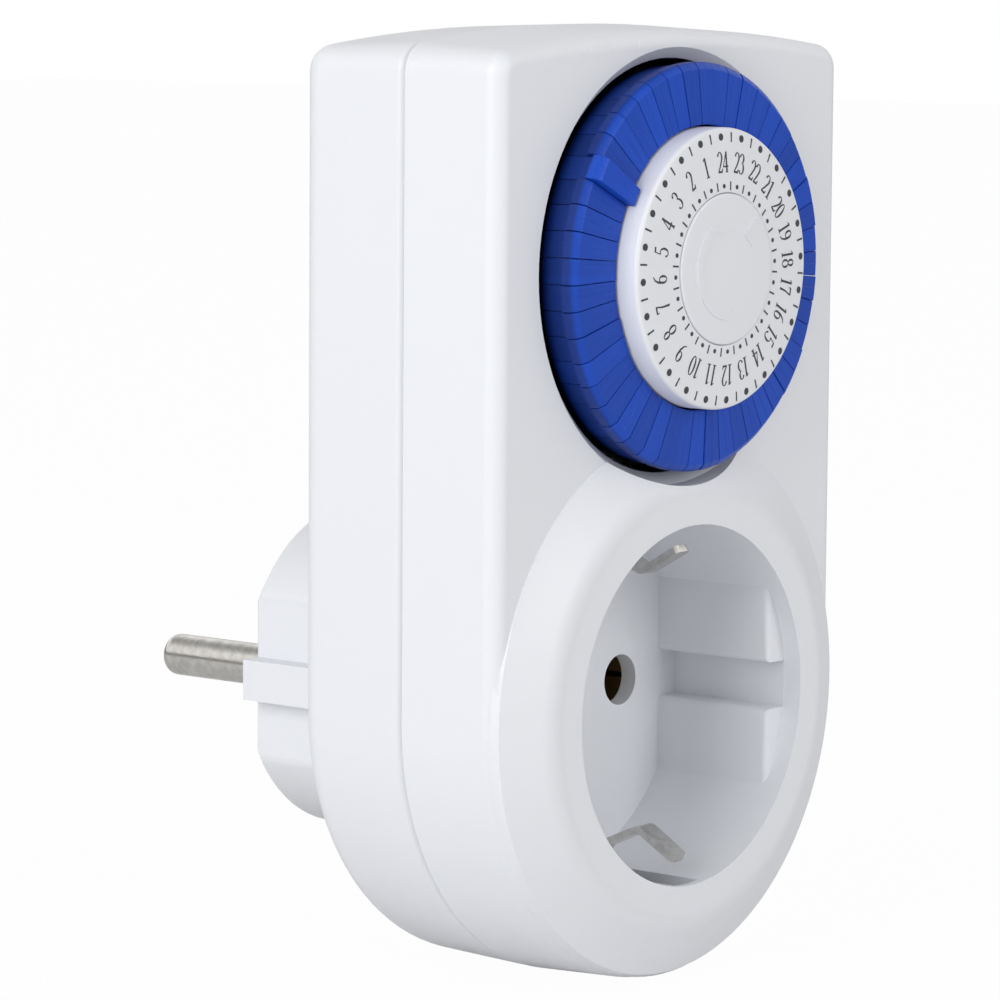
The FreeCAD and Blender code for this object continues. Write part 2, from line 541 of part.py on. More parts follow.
def gear(teeth, module, front_y, back_y, x, z, phase, bore):
    """A spur gear about a Y axis. phase is the angle of one tooth, in degrees."""
    pitch = teeth * module / 2
    tip, root = pitch + ADDENDUM * module, pitch - DEDENDUM * module
    base_radius = pitch * math.cos(PRESSURE)
    spread = math.tan(PRESSURE) - PRESSURE
    half_tooth = math.pi / (2 * teeth) - BACKLASH / pitch
    flank = []
    for radius in (max(root, base_radius), (max(root, base_radius) + pitch) / 2, pitch, tip):
        angle = math.acos(min(base_radius / radius, 1.0))
        flank.append((radius, half_tooth + spread - (math.tan(angle) - angle)))
    flank = [(root, flank[0][1])] + flank if root < flank[0][0] - 1e-6 else flank
    corners = []
    for tooth in range(teeth):
        middle = math.radians(phase) + 2 * math.pi * tooth / teeth
        for radius, offset in flank:
            corners.append((radius, middle - offset))
        for radius, offset in reversed(flank):
            corners.append((radius, middle + offset))
    points = [V(x + r * math.cos(a), front_y, z + r * math.sin(a)) for r, a in corners]
    shape = Part.Face(Part.makePolygon(points + points[:1])).extrude(V(0, back_y - front_y, 0))
    if bore:
        shape = shape.cut(Part.makeCylinder(bore, back_y - front_y + 2, V(x, front_y - 1, z), V(0, 1, 0)))
    return shape


def meshed(phase, teeth, from_place, to_place, other_teeth):
    """The phase at which a second gear's gap meets a first gear's tooth."""
    direction = math.degrees(math.atan2(to_place[1] - from_place[1], to_place[0] - from_place[0]))
    return direction + 180 - (phase - direction) * teeth / other_teeth + 180 / other_teeth


def tube(radius, front_y, back_y, x, z, bore=0.0):
    shape = Part.makeCylinder(radius, back_y - front_y, V(x, front_y, z), V(0, 1, 0))
    if bore:
        shape = shape.cut(Part.makeCylinder(bore, back_y - front_y + 2, V(x, front_y - 1, z), V(0, 1, 0)))
    return shape


# Places of the gear train, from the centre distances
module = size("gear_module")
wheel, pinion, dial_count = (int(size(name)) for name in ("wheel_teeth", "pinion_teeth", "dial_teeth"))
step = (wheel + pinion) * module / 2
dial_place = (0.0, size("dial_z"))
motor_place = (size("motor_x"), size("motor_z"))
first_angle = math.radians(-45)
first_place = (motor_place[0] + step * math.cos(first_angle), motor_place[1] + step * math.sin(first_angle))
drive_step = (dial_count + pinion) * module / 2
drive_angle = math.radians(-53.45)
drive_place = (drive_step * math.cos(drive_angle), dial_place[1] + drive_step * math.sin(drive_angle))
span = math.dist(first_place, drive_place)
rise = math.sqrt(step ** 2 - (span / 2) ** 2)
along = ((drive_place[0] - first_place[0]) / span, (drive_place[1] - first_place[1]) / span)
second_place = (first_place[0] + along[0] * span / 2 + along[1] * rise,
                first_place[1] + along[1] * span / 2 - along[0] * rise)

LEVELS = [(-32.4, -31.5), (-31.3, -30.4), (-30.1, -29.2)]
plate_front, plate_thick = size("plate_front"), size("plate_thick")
arbor_radius, gear_bore, clutch_shaft, clutch_bore, motor_shaft = 0.6, 0.65, 1.0, 1.05, 0.75
first_phase = meshed(0.0, pinion, motor_place, first_place, wheel)
second_phase = meshed(0.0, pinion, first_place, second_place, wheel)
third_phase = meshed(0.0, pinion, second_place, drive_place, wheel)
dial_phase = meshed(0.0, pinion, drive_place, dial_place, dial_count)

# Rotor: a ring magnet on a steel shaft with the first pinion
shaft = tube(motor_shaft, -32.45, -22.5, *motor_place)
magnet = tube(5.8, -28.8, -24.0, *motor_place)
first_pinion = gear(pinion, module, LEVELS[0][0], LEVELS[0][1] + 0.1, *motor_place, 0.0, 0)
node(raw("Rotor", shaft.fuse([magnet, first_pinion]).removeSplitter()), "rotor")

# Reduction gears: each a wheel with a pinion moulded to it. The last one's shaft is the slip clutch
first = gear(wheel, module, *LEVELS[0], *first_place, first_phase, gear_bore)
first_top = gear(pinion, module, LEVELS[0][1], LEVELS[1][1], *first_place, 0.0, gear_bore)
node(raw("FirstGear", first.fuse(first_top).removeSplitter()), "gear_1")
second = gear(wheel, module, *LEVELS[1], *second_place, second_phase, gear_bore)
second_top = gear(pinion, module, LEVELS[1][1], LEVELS[2][1], *second_place, 0.0, gear_bore)
node(raw("SecondGear", second.fuse(second_top).removeSplitter()), "gear_2")
third = gear(wheel, module, *LEVELS[2], *drive_place, third_phase, 0)
third_boss = tube(2.4, LEVELS[1][0], LEVELS[2][0], *drive_place)
third = third.fuse([tube(clutch_shaft, -37.6, -28.7, *drive_place), third_boss])
node(raw("ThirdGear", third.removeSplitter()), "gear_3")
arbor_ends = ((-30.35, first_place), (-28.7, second_place))
arbors = [tube(arbor_radius, plate_front, end, *place) for end, place in arbor_ends]
node(raw("GearArbors", Part.makeCompound(arbors)), "gear_arbors")
drive_front, drive_step_y, drive_back = -37.4, -35.9, -34.4
drive = gear(pinion, module, drive_front, drive_step_y, *drive_place, 0.0, clutch_bore)
drive = drive.fuse(tube(2.2, drive_step_y, drive_back, *drive_place, bore=clutch_bore)).removeSplitter()
node(raw("DrivePinion", drive), "drive_pinion")

# Mechanism plate: carries the motor, the gears, the dial's axle and the lever
plate_left, plate_low, plate_width, plate_height = -28.0, 26.0, 56.0, 44.0
post_notch, screw_clearance = 4.5, 1.2
plate = Part.makeBox(plate_width, plate_thick, plate_height, V(plate_left, plate_front, plate_low))
round_holes = [(post_notch, place) for place in screw_places[:2]]
round_holes += [(screw_clearance, place) for place in plate_places]
round_holes += [(arbor_radius, first_place), (arbor_radius, second_place), (clutch_bore, drive_place),
                (motor_shaft + 0.1, motor_place), (2.0, dial_place)]
holes = [tube(radius, plate_front - 1, plate_front + plate_thick + 1, *place) for radius, place in round_holes]
lever_window = Part.makeBox(4.3, plate_thick + 2, 10.0, V(19.6, plate_front - 1, 47.0))
plate = plate.cut(holes + [lever_window])
pivot_y, pivot_z = size("lever_pivot_y"), size("lever_pivot_z")
ear_thick, ear_round, pivot_radius, ear_places = 1.0, 1.2, 0.6, (18.8, 23.7)
for ear_x in ear_places:
    ear = Part.makeBox(ear_thick, plate_front - pivot_y, 2 * ear_round, V(ear_x, pivot_y, pivot_z - ear_round))
    ear = ear.fuse(Part.makeCylinder(ear_round, ear_thick, V(ear_x, pivot_y, pivot_z), V(1, 0, 0)))
    pivot_hole = Part.makeCylinder(pivot_radius, 3.0, V(ear_x - 1, pivot_y, pivot_z), V(1, 0, 0))
    plate = plate.fuse(ear.cut(pivot_hole))
node(raw("MechanismPlate", plate.removeSplitter()), "mechanism_plate")
plate_screws = [tube(0.9, plate_front, -27.0, x, z).fuse(tube(1.8, plate_front - 1.0, plate_front, x, z))
                for x, z in plate_places]
node(raw("PlateScrews", Part.makeCompound(plate_screws)), "plate_screws")

# Switch: a small snap-action switch worked by a lever that feels the pressed segments
switch_x, switch_low, switch_high = size("switch_x"), size("switch_low"), size("switch_high")
switch_front, switch_back, switch_wide = -32.4, -22.4, 6.3
plunger_z, plunger_radius = 54.5, 1.2
case = Part.makeBox(switch_wide, switch_back - switch_front, switch_high - switch_low,
                    V(switch_x - switch_wide / 2, switch_front, switch_low))
case = case.cut(tube(plunger_radius + size("running_gap"), switch_front - 1, -28.0, switch_x, plunger_z))
node(raw("MicroswitchCase", case), "microswitch_case")
plunger = tube(plunger_radius, pivot_y + 0.05, -29.6, switch_x, plunger_z)
node(raw("SwitchPlunger", plunger), "switch_plunger")
lever_left, lever_wide, lever_thick, lever_low, lever_long = 20.3, 2.2, 1.2, 49.2, 11.4
lever = Part.makeBox(lever_wide, lever_thick, lever_long, V(lever_left, pivot_y - 1.3, lever_low))
nose = Part.makeCylinder(0.9, lever_wide, V(lever_left, -36.8, 49.5), V(1, 0, 0))
eye = Part.makeCylinder(1.4, lever_wide, V(lever_left, pivot_y, pivot_z), V(1, 0, 0))
eye_hole = Part.makeCylinder(pivot_radius + size("running_gap"), 6, V(18, pivot_y, pivot_z), V(1, 0, 0))
lever = lever.fuse([nose, eye]).cut(eye_hole)
node(raw("FollowerLever", lever.removeSplitter()), "follower_lever")
pivot_length = ear_places[1] + ear_thick - ear_places[0]
pivot = Part.makeCylinder(pivot_radius, pivot_length, V(ear_places[0], pivot_y, pivot_z), V(1, 0, 0))
node(raw("LeverPivot", pivot), "lever_pivot")
coil_steps, coil_turns, coil_pitch, coil_inner, wire_size, coil_left = 14, 2, 0.36, 0.86, 0.28, 22.65
coil_rings = []
for step in range(coil_steps * coil_turns + 1):
    angle = 2 * math.pi * step / coil_steps
    along = coil_left + coil_pitch * step / coil_steps
    ring = []
    for out, shift in ((0, 0), (wire_size, 0), (wire_size, wire_size), (0, wire_size)):
        reach = coil_inner + out
        ring.append(V(along + shift, pivot_y + reach * math.cos(angle), pivot_z + reach * math.sin(angle)))
    coil_rings.append(ring)
triangles = [coil_rings[0][0:3], coil_rings[0][2:] + coil_rings[0][:1], coil_rings[-1][0:3],
             coil_rings[-1][2:] + coil_rings[-1][:1]]
for one, two in zip(coil_rings, coil_rings[1:]):
    for corner in range(4):
        after = (corner + 1) % 4
        triangles += [[one[corner], one[after], two[after]], [one[corner], two[after], two[corner]]]
coil_faces = [Part.Face(Part.makePolygon(triangle + triangle[:1])) for triangle in triangles]
coil = Part.Solid(Part.makeShell(coil_faces))
node(raw("LeverSpring", coil if coil.Volume > 0 else coil.reversed()), "lever_spring")

# Motor: a small synchronous motor in a deep drawn can
motor_front, motor_back, motor_radius = size("motor_front"), size("motor_back"), size("motor_radius")
cover_thick, can_wall = 0.6, 0.7
can = tube(motor_radius, motor_front + cover_thick, motor_back, *motor_place)
can_room = tube(motor_radius - can_wall, motor_front, motor_back - can_wall, *motor_place)
can = can.cut([can_room, tube(motor_shaft + 0.05, motor_back - 2, motor_back + 1, *motor_place)])
node(raw("MotorCan", can), "motor_can")
cover = tube(motor_radius, motor_front, motor_front + cover_thick, *motor_place, bore=motor_shaft + 0.1)
node(raw("MotorCover", cover), "motor_cover")
bobbin = tube(11.4, -29.0, -23.8, *motor_place, bore=7.5).cut(tube(12.0, -28.6, -24.2, *motor_place, bore=7.9))
node(raw("MotorBobbin", bobbin), "motor_bobbin")
node(raw("MotorCoil", tube(11.0, -28.55, -24.25, *motor_place, bore=7.95)), "motor_coil")
poles = tube(7.2, motor_front + cover_thick, -23.0, *motor_place, bore=6.5)
pole_count, pole_gap, gap_reach = 12, 1.2, 8.0
for number in range(pole_count // 2):
    gap_box = Part.makeBox(2 * gap_reach, 5.4, pole_gap,
                           V(motor_place[0] - gap_reach, -28.6, motor_place[1] - pole_gap / 2))
    gap_box.rotate(V(motor_place[0], 0, motor_place[1]), V(0, 1, 0), number * 360 / pole_count)
    poles = poles.cut(gap_box)
node(raw("StatorPoles", poles), "stator_poles")

# Dial: the wheel that carries the segments, the printed disc and the hub cap
axle = join("AxleParts", rod("AxleShaft", "axle_radius", "-52.0", "plate_front", z="dial_z"),
            rod("AxleSpigot", "2", "plate_front", "plate_front + plate_thick", z="dial_z"))
axle_groove = cut("AxleGrooveRing", rod("GrooveOuter", "3.5", "-51.6", "-51.0", z="dial_z"),
                  rod("GrooveInner", "2.4", "-51.7", "-50.9", z="dial_z"))
node(cut("DialAxle", axle, axle_groove), "dial_axle")
clip = tube(4.6, -51.55, -51.05, *dial_place, bore=2.42)
node(raw("AxleClip", clip.cut(Part.makeBox(3.4, 2, 6, V(-1.7, -52, dial_place[1] - 6.0)))), "axle_clip")

hub_bore = size("axle_radius") + size("running_gap")
wheel_profile = [(-50.9, hub_bore), (-50.9, 6.0), (-41.0, 6.0), (-41.0, 11.0), (-52.2, 11.0), (-52.2, 13.9),
                 (-41.0, 13.9), (-41.0, 17.2), (-48.4, 17.2), (-48.4, 20.0), (-39.5, 20.0), (-39.5, 6.0),
                 (-35.9, 6.0), (-35.9, hub_bore)]
programme_wheel = turned(wheel_profile, dial_place[1])
programme_wheel = programme_wheel.fuse(gear(dial_count, module, -37.5, -35.9, *dial_place, dial_phase, 5.5))
node(raw("ProgrammeWheel", programme_wheel.removeSplitter()), "programme_wheel")

dome = size("dome_radius")
disc_front = size("disc_front")
disc = Part.makeSphere(dome, V(0, disc_front + dome, dial_place[1])).common(
    tube(size("disc_radius"), disc_front - 1, -43.0, *dial_place))
hub_seat, hub_gap, disc_inner = -53.2, 0.08, 14.1
hub_recess = tube(size("hub_radius") + hub_gap, disc_front - 1, hub_seat, *dial_place)
disc = disc.cut([tube(disc_inner, -52.2, -42.0, *dial_place), hub_recess])
node(raw("DialDisc", disc), "dial_disc")
cap = Part.makeSphere(dome, V(0, disc_front + dome - size("hub_rise"), dial_place[1])).common(
    tube(size("hub_radius"), disc_front - 1, hub_seat, *dial_place))
node(raw("HubCap", cap), "hub_cap")

# Segments: forty-eight riders that straddle the wheel's guide ring and slide in and out
segment_count = int(size("segment_count"))
pitch_angle = 360 / segment_count
inner, outer, skirt = size("segment_inner"), size("segment_outer"), size("segment_skirt")
rider_wall = 1.2
segment_profile = [(-51.1, inner), (-50.65, outer - 0.7), (-50.05, outer), (-48.9, outer), (-48.7, skirt),
                   (-38.0, skirt), (-38.0, skirt - rider_wall), (-49.0, skirt - rider_wall),
                   (-49.0, inner + rider_wall), (-43.4, inner + rider_wall), (-43.4, inner)]
proud = 19


def segment(number):
    """One segment, pressed home unless it is the one that stands proud."""
    start = size("first_joint") + number * pitch_angle + size("segment_joint") / 2
    shape = turned(segment_profile, dial_place[1], start, pitch_angle - size("segment_joint"))
    if number == proud:
        shape.translate(V(0, -size("proud_lift"), 0))
    return shape


groups = [[segment_count - 1, 0]] + [[number, number + 1] for number in range(1, proud, 2)] + [[proud]]
groups += [[number, number + 1] for number in range(proud + 1, segment_count - 2, 2)] + [[segment_count - 2]]
for count, group in enumerate(groups, start=1):
    shape = Part.makeCompound([segment(number) for number in group])
    node(raw("Segments%d" % count, shape), "segments_%02d" % count)

# Override slider: a hand switch on the right side
slider_y, slider_z = size("slider_y"), size("slider_z")


def slider_block(left, thick, deep, tall):
    """A block of the hand switch, centred on its slot."""
    return Part.makeBox(thick, deep, tall, V(left, slider_y - deep / 2, slider_z - tall / 2))


knob_left, knob_thick = 31.35, 1.6
knob = slider_block(knob_left, knob_thick, 6.0, 7.0)
outer_edges = [edge for edge in knob.Edges if edge.BoundBox.XMin > knob_left + knob_thick / 2]
knob = knob.makeFillet(0.5, outer_edges)
neck = slider_block(28.6, 3.0, 2.8, 3.0)
foot = slider_block(27.4, 1.2, 6.0, 8.0)
node(raw("OverrideSlider", knob.fuse([neck, foot]).removeSplitter()), "override_slider")

# Checks and export
doc.recompute()
failed = [item.Label for item in doc.Objects if "Invalid" in item.State or "Error" in item.State]
for item in nodes:
    if item.Shape.isNull() or not item.Shape.isValid() or not item.Shape.Solids:
        failed.append(item.Label)
if failed:
    raise RuntimeError("failed objects: " + ", ".join(failed))
os.makedirs("parts", exist_ok=True)
for item in nodes:
    item.Shape.exportStep("parts/" + item.Label + ".step")
print(len(nodes), "nodes,", sum(len(item.Shape.Solids) for item in nodes), "solids")
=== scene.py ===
"""The looks of a plug-in timer switch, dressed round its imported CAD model."""

import math

import bmesh
import bpy
from mathutils import Matrix, Vector


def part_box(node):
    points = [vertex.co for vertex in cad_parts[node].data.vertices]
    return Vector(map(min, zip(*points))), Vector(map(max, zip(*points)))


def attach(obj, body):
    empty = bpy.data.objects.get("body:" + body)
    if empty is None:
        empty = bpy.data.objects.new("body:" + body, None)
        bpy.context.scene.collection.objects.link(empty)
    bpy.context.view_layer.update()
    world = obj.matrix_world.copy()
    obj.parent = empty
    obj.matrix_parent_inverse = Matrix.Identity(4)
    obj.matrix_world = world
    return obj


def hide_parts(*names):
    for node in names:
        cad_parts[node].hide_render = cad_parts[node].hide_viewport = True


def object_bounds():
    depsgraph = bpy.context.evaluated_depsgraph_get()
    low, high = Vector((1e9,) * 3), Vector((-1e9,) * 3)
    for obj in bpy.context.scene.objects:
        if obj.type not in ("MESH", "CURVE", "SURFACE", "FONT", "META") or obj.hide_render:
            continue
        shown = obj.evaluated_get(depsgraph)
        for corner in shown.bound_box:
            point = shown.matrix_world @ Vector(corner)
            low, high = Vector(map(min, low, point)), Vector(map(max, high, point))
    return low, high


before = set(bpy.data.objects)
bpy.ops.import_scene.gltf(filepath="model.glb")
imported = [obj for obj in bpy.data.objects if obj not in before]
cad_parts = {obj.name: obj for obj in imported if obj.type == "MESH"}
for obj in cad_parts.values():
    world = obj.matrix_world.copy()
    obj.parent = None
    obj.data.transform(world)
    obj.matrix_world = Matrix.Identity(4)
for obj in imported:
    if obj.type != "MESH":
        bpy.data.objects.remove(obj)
cad_low, cad_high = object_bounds()
MM = 0.001


# Housing: a front and a rear cover moulded in white ABS from spark-eroded tools, screwed together
# from behind. The grain of the tool shows as a fine sparkle on the broad faces.
def moulded_grain():
    """A node group whose Height is the fine grain that a spark-eroded tool leaves."""
    group = bpy.data.node_groups.new("moulded_grain", "ShaderNodeTree")
    for name, value in (("Grain Size", 0.3 * MM), ("Depth", 0.5)):
        socket = group.interface.new_socket(name, in_out="INPUT", socket_type="NodeSocketFloat")
        socket.default_value = value
    group.interface.new_socket("Height", in_out="OUTPUT", socket_type="NodeSocketFloat")
    nodes, links = group.nodes, group.links
    given, result = nodes.new("NodeGroupInput"), nodes.new("NodeGroupOutput")
    place, noise = nodes.new("ShaderNodeTexCoord"), nodes.new("ShaderNodeTexNoise")
    noise.inputs["Detail"].default_value = 2.0
    frequency, depth = nodes.new("ShaderNodeMath"), nodes.new("ShaderNodeMath")
    frequency.operation, depth.operation = "DIVIDE", "MULTIPLY"
    frequency.inputs[0].default_value = 1.0
    links.new(given.outputs["Grain Size"], frequency.inputs[1])
    links.new(place.outputs["Object"], noise.inputs["Vector"])
    links.new(frequency.outputs[0], noise.inputs["Scale"])
    links.new(noise.outputs["Fac"], depth.inputs[0])
    links.new(given.outputs["Depth"], depth.inputs[1])
    links.new(depth.outputs[0], result.inputs["Height"])
    return group


grain = moulded_grain()


def moulding(name, colour, roughness, grain_size, bump, shine=0.5):
    """A moulded plastic with a fine grain."""
    material = bpy.data.materials.new(name)
    material.use_nodes = True
    nodes, links = material.node_tree.nodes, material.node_tree.links
    shader = nodes["Principled BSDF"]
    shader.inputs["Base Color"].default_value = (*colour, 1)
    shader.inputs["Roughness"].default_value = roughness
    shader.inputs["Specular IOR Level"].default_value = shine
    surface, relief = nodes.new("ShaderNodeGroup"), nodes.new("ShaderNodeBump")
    surface.node_tree = grain
    surface.inputs["Grain Size"].default_value = grain_size
    relief.inputs["Strength"].default_value = bump
    relief.inputs["Distance"].default_value = 0.04 * MM
    links.new(surface.outputs["Height"], relief.inputs["Height"])
    links.new(relief.outputs["Normal"], shader.inputs["Normal"])
    return material


def flat_regions(work):
    """For each face, the number of the flat region it lies in, and the area of each region."""
    region, areas = {}, []
    for first in work.faces:
        if first in region:
            continue
        region[first] = len(areas)
        waiting, area = [first], 0.0
        while waiting:
            face = waiting.pop()
            area += face.calc_area()
            for edge in face.edges:
                for other in edge.link_faces:
                    if other not in region and other.normal.dot(face.normal) > FLAT_COSINE:
                        region[other] = len(areas)
                        waiting.append(other)
        areas.append(area)
    return region, areas


FLAT_COSINE, SHARP_COSINE = math.cos(math.radians(0.08)), math.cos(math.radians(32))


def smoothed_copy(node, name):
    """A CAD node's mesh with its loose triangles joined. Flat faces stay flat, and a curved
    face's normals lean towards the larger of the regions that meet at each corner."""
    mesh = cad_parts[node].data.copy()
    work = bmesh.new()
    work.from_mesh(mesh)
    bmesh.ops.remove_doubles(work, verts=work.verts, dist=0.002 * MM)
    work.normal_update()
    region, areas = flat_regions(work)
    normals = []
    for face in work.faces:
        face.smooth = True
        for corner in face.loops:
            beside = {region[other]: other.normal for other in corner.vert.link_faces
                      if other.normal.dot(face.normal) > SHARP_COSINE}
            total = Vector()
            for number, normal in beside.items():
                total += normal * areas[number] ** 2
            normals.append(total.normalized() if total.length > 0 else face.normal.copy())
    work.to_mesh(mesh)
    work.free()
    mesh.normals_split_custom_set(normals)
    piece = bpy.data.objects.new(name, mesh)
    bpy.context.scene.collection.objects.link(piece)
    return piece


def dress(node, name, body, material):
    """A smooth piece in place of a CAD node, on the node's own body."""
    piece = smoothed_copy(node, name)
    piece.data.materials.clear()
    piece.data.materials.append(material)
    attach(piece, body)
    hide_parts(node)
    return piece


def fill_ramp(node, stops):
    """Sets the stops of a colour ramp, each a position and a grey, in rising order."""
    elements = node.color_ramp.elements
    for number, (position, grey) in enumerate(stops):
        stop = elements[number] if number < 2 else elements.new(position)
        stop.position, stop.color = position, (grey, grey, grey, 1)


def new_nodes(nodes, *kinds):
    """New nodes of the given kinds, in the same order."""
    return [nodes.new(kind) for kind in kinds]


DIAL_Z = 48.15


def polar_round_dial(nodes, links):
    """Object coordinates as the distance from the dial's axis, the angle round it, and the depth."""
    place, centred = nodes.new("ShaderNodeTexCoord"), nodes.new("ShaderNodeVectorMath")
    centred.operation = "SUBTRACT"
    centred.inputs[1].default_value = (0, 0, DIAL_Z * MM)
    parts, flat = nodes.new("ShaderNodeSeparateXYZ"), nodes.new("ShaderNodeCombineXYZ")
    reach, angle = nodes.new("ShaderNodeVectorMath"), nodes.new("ShaderNodeMath")
    reach.operation, angle.operation = "LENGTH", "ARCTAN2"
    links.new(place.outputs["Object"], centred.inputs[0])
    links.new(centred.outputs["Vector"], parts.inputs["Vector"])
    links.new(parts.outputs["X"], flat.inputs["X"])
    links.new(parts.outputs["Z"], flat.inputs["Z"])
    links.new(flat.outputs["Vector"], reach.inputs[0])
    links.new(parts.outputs["Z"], angle.inputs[0])
    links.new(parts.outputs["X"], angle.inputs[1])
    return reach.outputs["Value"], angle.outputs["Value"], parts.outputs["Y"]


def darken_gap(material, colour):
    """Darkens the narrow wall of the dial's opening, which hardly any light reaches."""
    nodes, links = material.node_tree.nodes, material.node_tree.links
    radius, _, depth = polar_round_dial(nodes, links)
    near, deep, both, mix = new_nodes(nodes, "ShaderNodeMapRange", "ShaderNodeMapRange",
                                      "ShaderNodeMath", "ShaderNodeMix")
    for item, light_from, dark_from in ((near, 22.95, 22.8), (deep, -46.0, -45.6)):
        item.inputs["From Min"].default_value = light_from * MM
        item.inputs["From Max"].default_value = dark_from * MM
    both.operation = "MULTIPLY"
    mix.data_type = "RGBA"
    mix.inputs["A"].default_value = (*colour, 1)
    mix.inputs["B"].default_value = (*GAP_SHADE, 1)
    links.new(radius, near.inputs["Value"])
    links.new(depth, deep.inputs["Value"])
    links.new(near.outputs["Result"], both.inputs[0])
    links.new(deep.outputs["Result"], both.inputs[1])
    links.new(both.outputs["Value"], mix.inputs["Factor"])
    links.new(mix.outputs["Result"], nodes["Principled BSDF"].inputs["Base Color"])


WHITE, GAP_SHADE = (0.79, 0.805, 0.84), (0.012, 0.012, 0.014)
COVER_ROUGHNESS, COVER_GRAIN = 0.42, 0.32 * MM
white_abs = moulding("white_abs", WHITE, COVER_ROUGHNESS, COVER_GRAIN, 0.3)
front_abs = moulding("front_white_abs", WHITE, COVER_ROUGHNESS, COVER_GRAIN, 0.45)
darken_gap(front_abs, WHITE)
dress("front_cover", "front_moulding", "case", front_abs)
dress("rear_cover", "rear_moulding", "case", white_abs)


# Case screws: four plated self-tapping screws at the bottom of deep holes in the back.
# Their heads are pressed with a cross and zinc plated.
def metal(name, colour, roughness):
    """A plain metal."""
    material = bpy.data.materials.new(name)
    material.use_nodes = True
    shader = material.node_tree.nodes["Principled BSDF"]
    shader.inputs["Base Color"].default_value = (*colour, 1)
    shader.inputs["Metallic"].default_value = 1.0
    shader.inputs["Roughness"].default_value = roughness
    return material


zinc_plate = metal("zinc_plate", (0.62, 0.62, 0.64), 0.32)
dress("case_screws", "back_screws", "case", zinc_plate)

# Plug pins and earth strap: brass with a bright nickel plate. The strap is one spring strip, whose
# two clips stand in the socket and whose back legs lie in the grooves of the plug.
nickel_plate = metal("nickel_plate", (0.66, 0.64, 0.61), 0.24)


def mottle(material, low, high, patch_size):
    """Cloudy patches of duller plate, as on barrel-plated parts."""
    nodes, links = material.node_tree.nodes, material.node_tree.links
    shader = nodes["Principled BSDF"]
    place, noise, shades = new_nodes(nodes, "ShaderNodeTexCoord", "ShaderNodeTexNoise", "ShaderNodeMix")
    polish, relief = new_nodes(nodes, "ShaderNodeMapRange", "ShaderNodeBump")
    noise.inputs["Scale"].default_value = 1 / patch_size
    noise.inputs["Detail"].default_value = 4.0
    shades.data_type = "RGBA"
    shades.inputs["A"].default_value = (*low, 1)
    shades.inputs["B"].default_value = (*high, 1)
    polish.inputs["To Min"].default_value = 0.34
    polish.inputs["To Max"].default_value = 0.14
    relief.inputs["Strength"].default_value = 0.35
    relief.inputs["Distance"].default_value = 0.05 * MM
    links.new(place.outputs["Object"], noise.inputs["Vector"])
    links.new(noise.outputs["Fac"], shades.inputs["Factor"])
    links.new(noise.outputs["Fac"], polish.inputs["Value"])
    links.new(noise.outputs["Fac"], relief.inputs["Height"])
    links.new(shades.outputs["Result"], shader.inputs["Base Color"])
    links.new(polish.outputs["Result"], shader.inputs["Roughness"])
    links.new(relief.outputs["Normal"], shader.inputs["Normal"])


mottle(nickel_plate, (0.46, 0.44, 0.41), (0.84, 0.82, 0.79), 0.9 * MM)
dress("live_pin", "plug_pin_right", "case", nickel_plate)
dress("neutral_pin", "plug_pin_left", "case", nickel_plate)
dress("earth_strap", "earth_clips", "case", nickel_plate)

# Socket contacts and bars: bare brass, seen through the two holes of the socket's floor.
# The sleeves are rolled from sheet and slit so that they grip a pin.
bare_brass = metal("bare_brass", (0.55, 0.42, 0.2), 0.35)
for node in ("live_socket_contact", "neutral_socket_contact"):
    dress(node, node.replace("socket_contact", "sleeve"), "case", bare_brass)

# Override slider: a small blue hand switch on the side, which holds the circuit on.
# It is moulded in the same blue as the segments.
BLUE = (0.008, 0.076, 0.55)
blue_abs = moulding("blue_abs", BLUE, 0.42, 0.25 * MM, 0.12, 0.3)
dress("override_slider", "hand_switch", "override_slider", blue_abs)

# Dial: a domed white disc with its hub cap, pressed on the wheel that carries the segments.
# Both are moulded, and the hub cap carries a raised arrow that shows which way the dial turns.
smooth_white = moulding("smooth_white_abs", WHITE, 0.38, 0.4 * MM, 0.12)
dress("programme_wheel", "segment_wheel", "dial", smooth_white)

DOME_RADIUS, HUB_RISE, HUB_SEAT = 205.0, 0.15, -53.2
HUB_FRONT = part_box("hub_cap")[0].y / MM
DISC_FRONT = HUB_FRONT + HUB_RISE


def dome_drop(radius):
    """How far the dome falls back at a distance from the dial's axis."""
    return DOME_RADIUS - math.sqrt(DOME_RADIUS ** 2 - radius ** 2)


def rounded_rim(radius, front, rounding, steps=5):
    """Points (y, radius) of a quarter round between the dome and a wall of the given radius."""
    points = []
    for step in range(steps + 1):
        angle = math.radians(90 * step / steps)
        points.append((front + dome_drop(radius) + rounding * (1 - math.cos(angle)),
                       radius - rounding * (1 - math.sin(angle))))
    return points


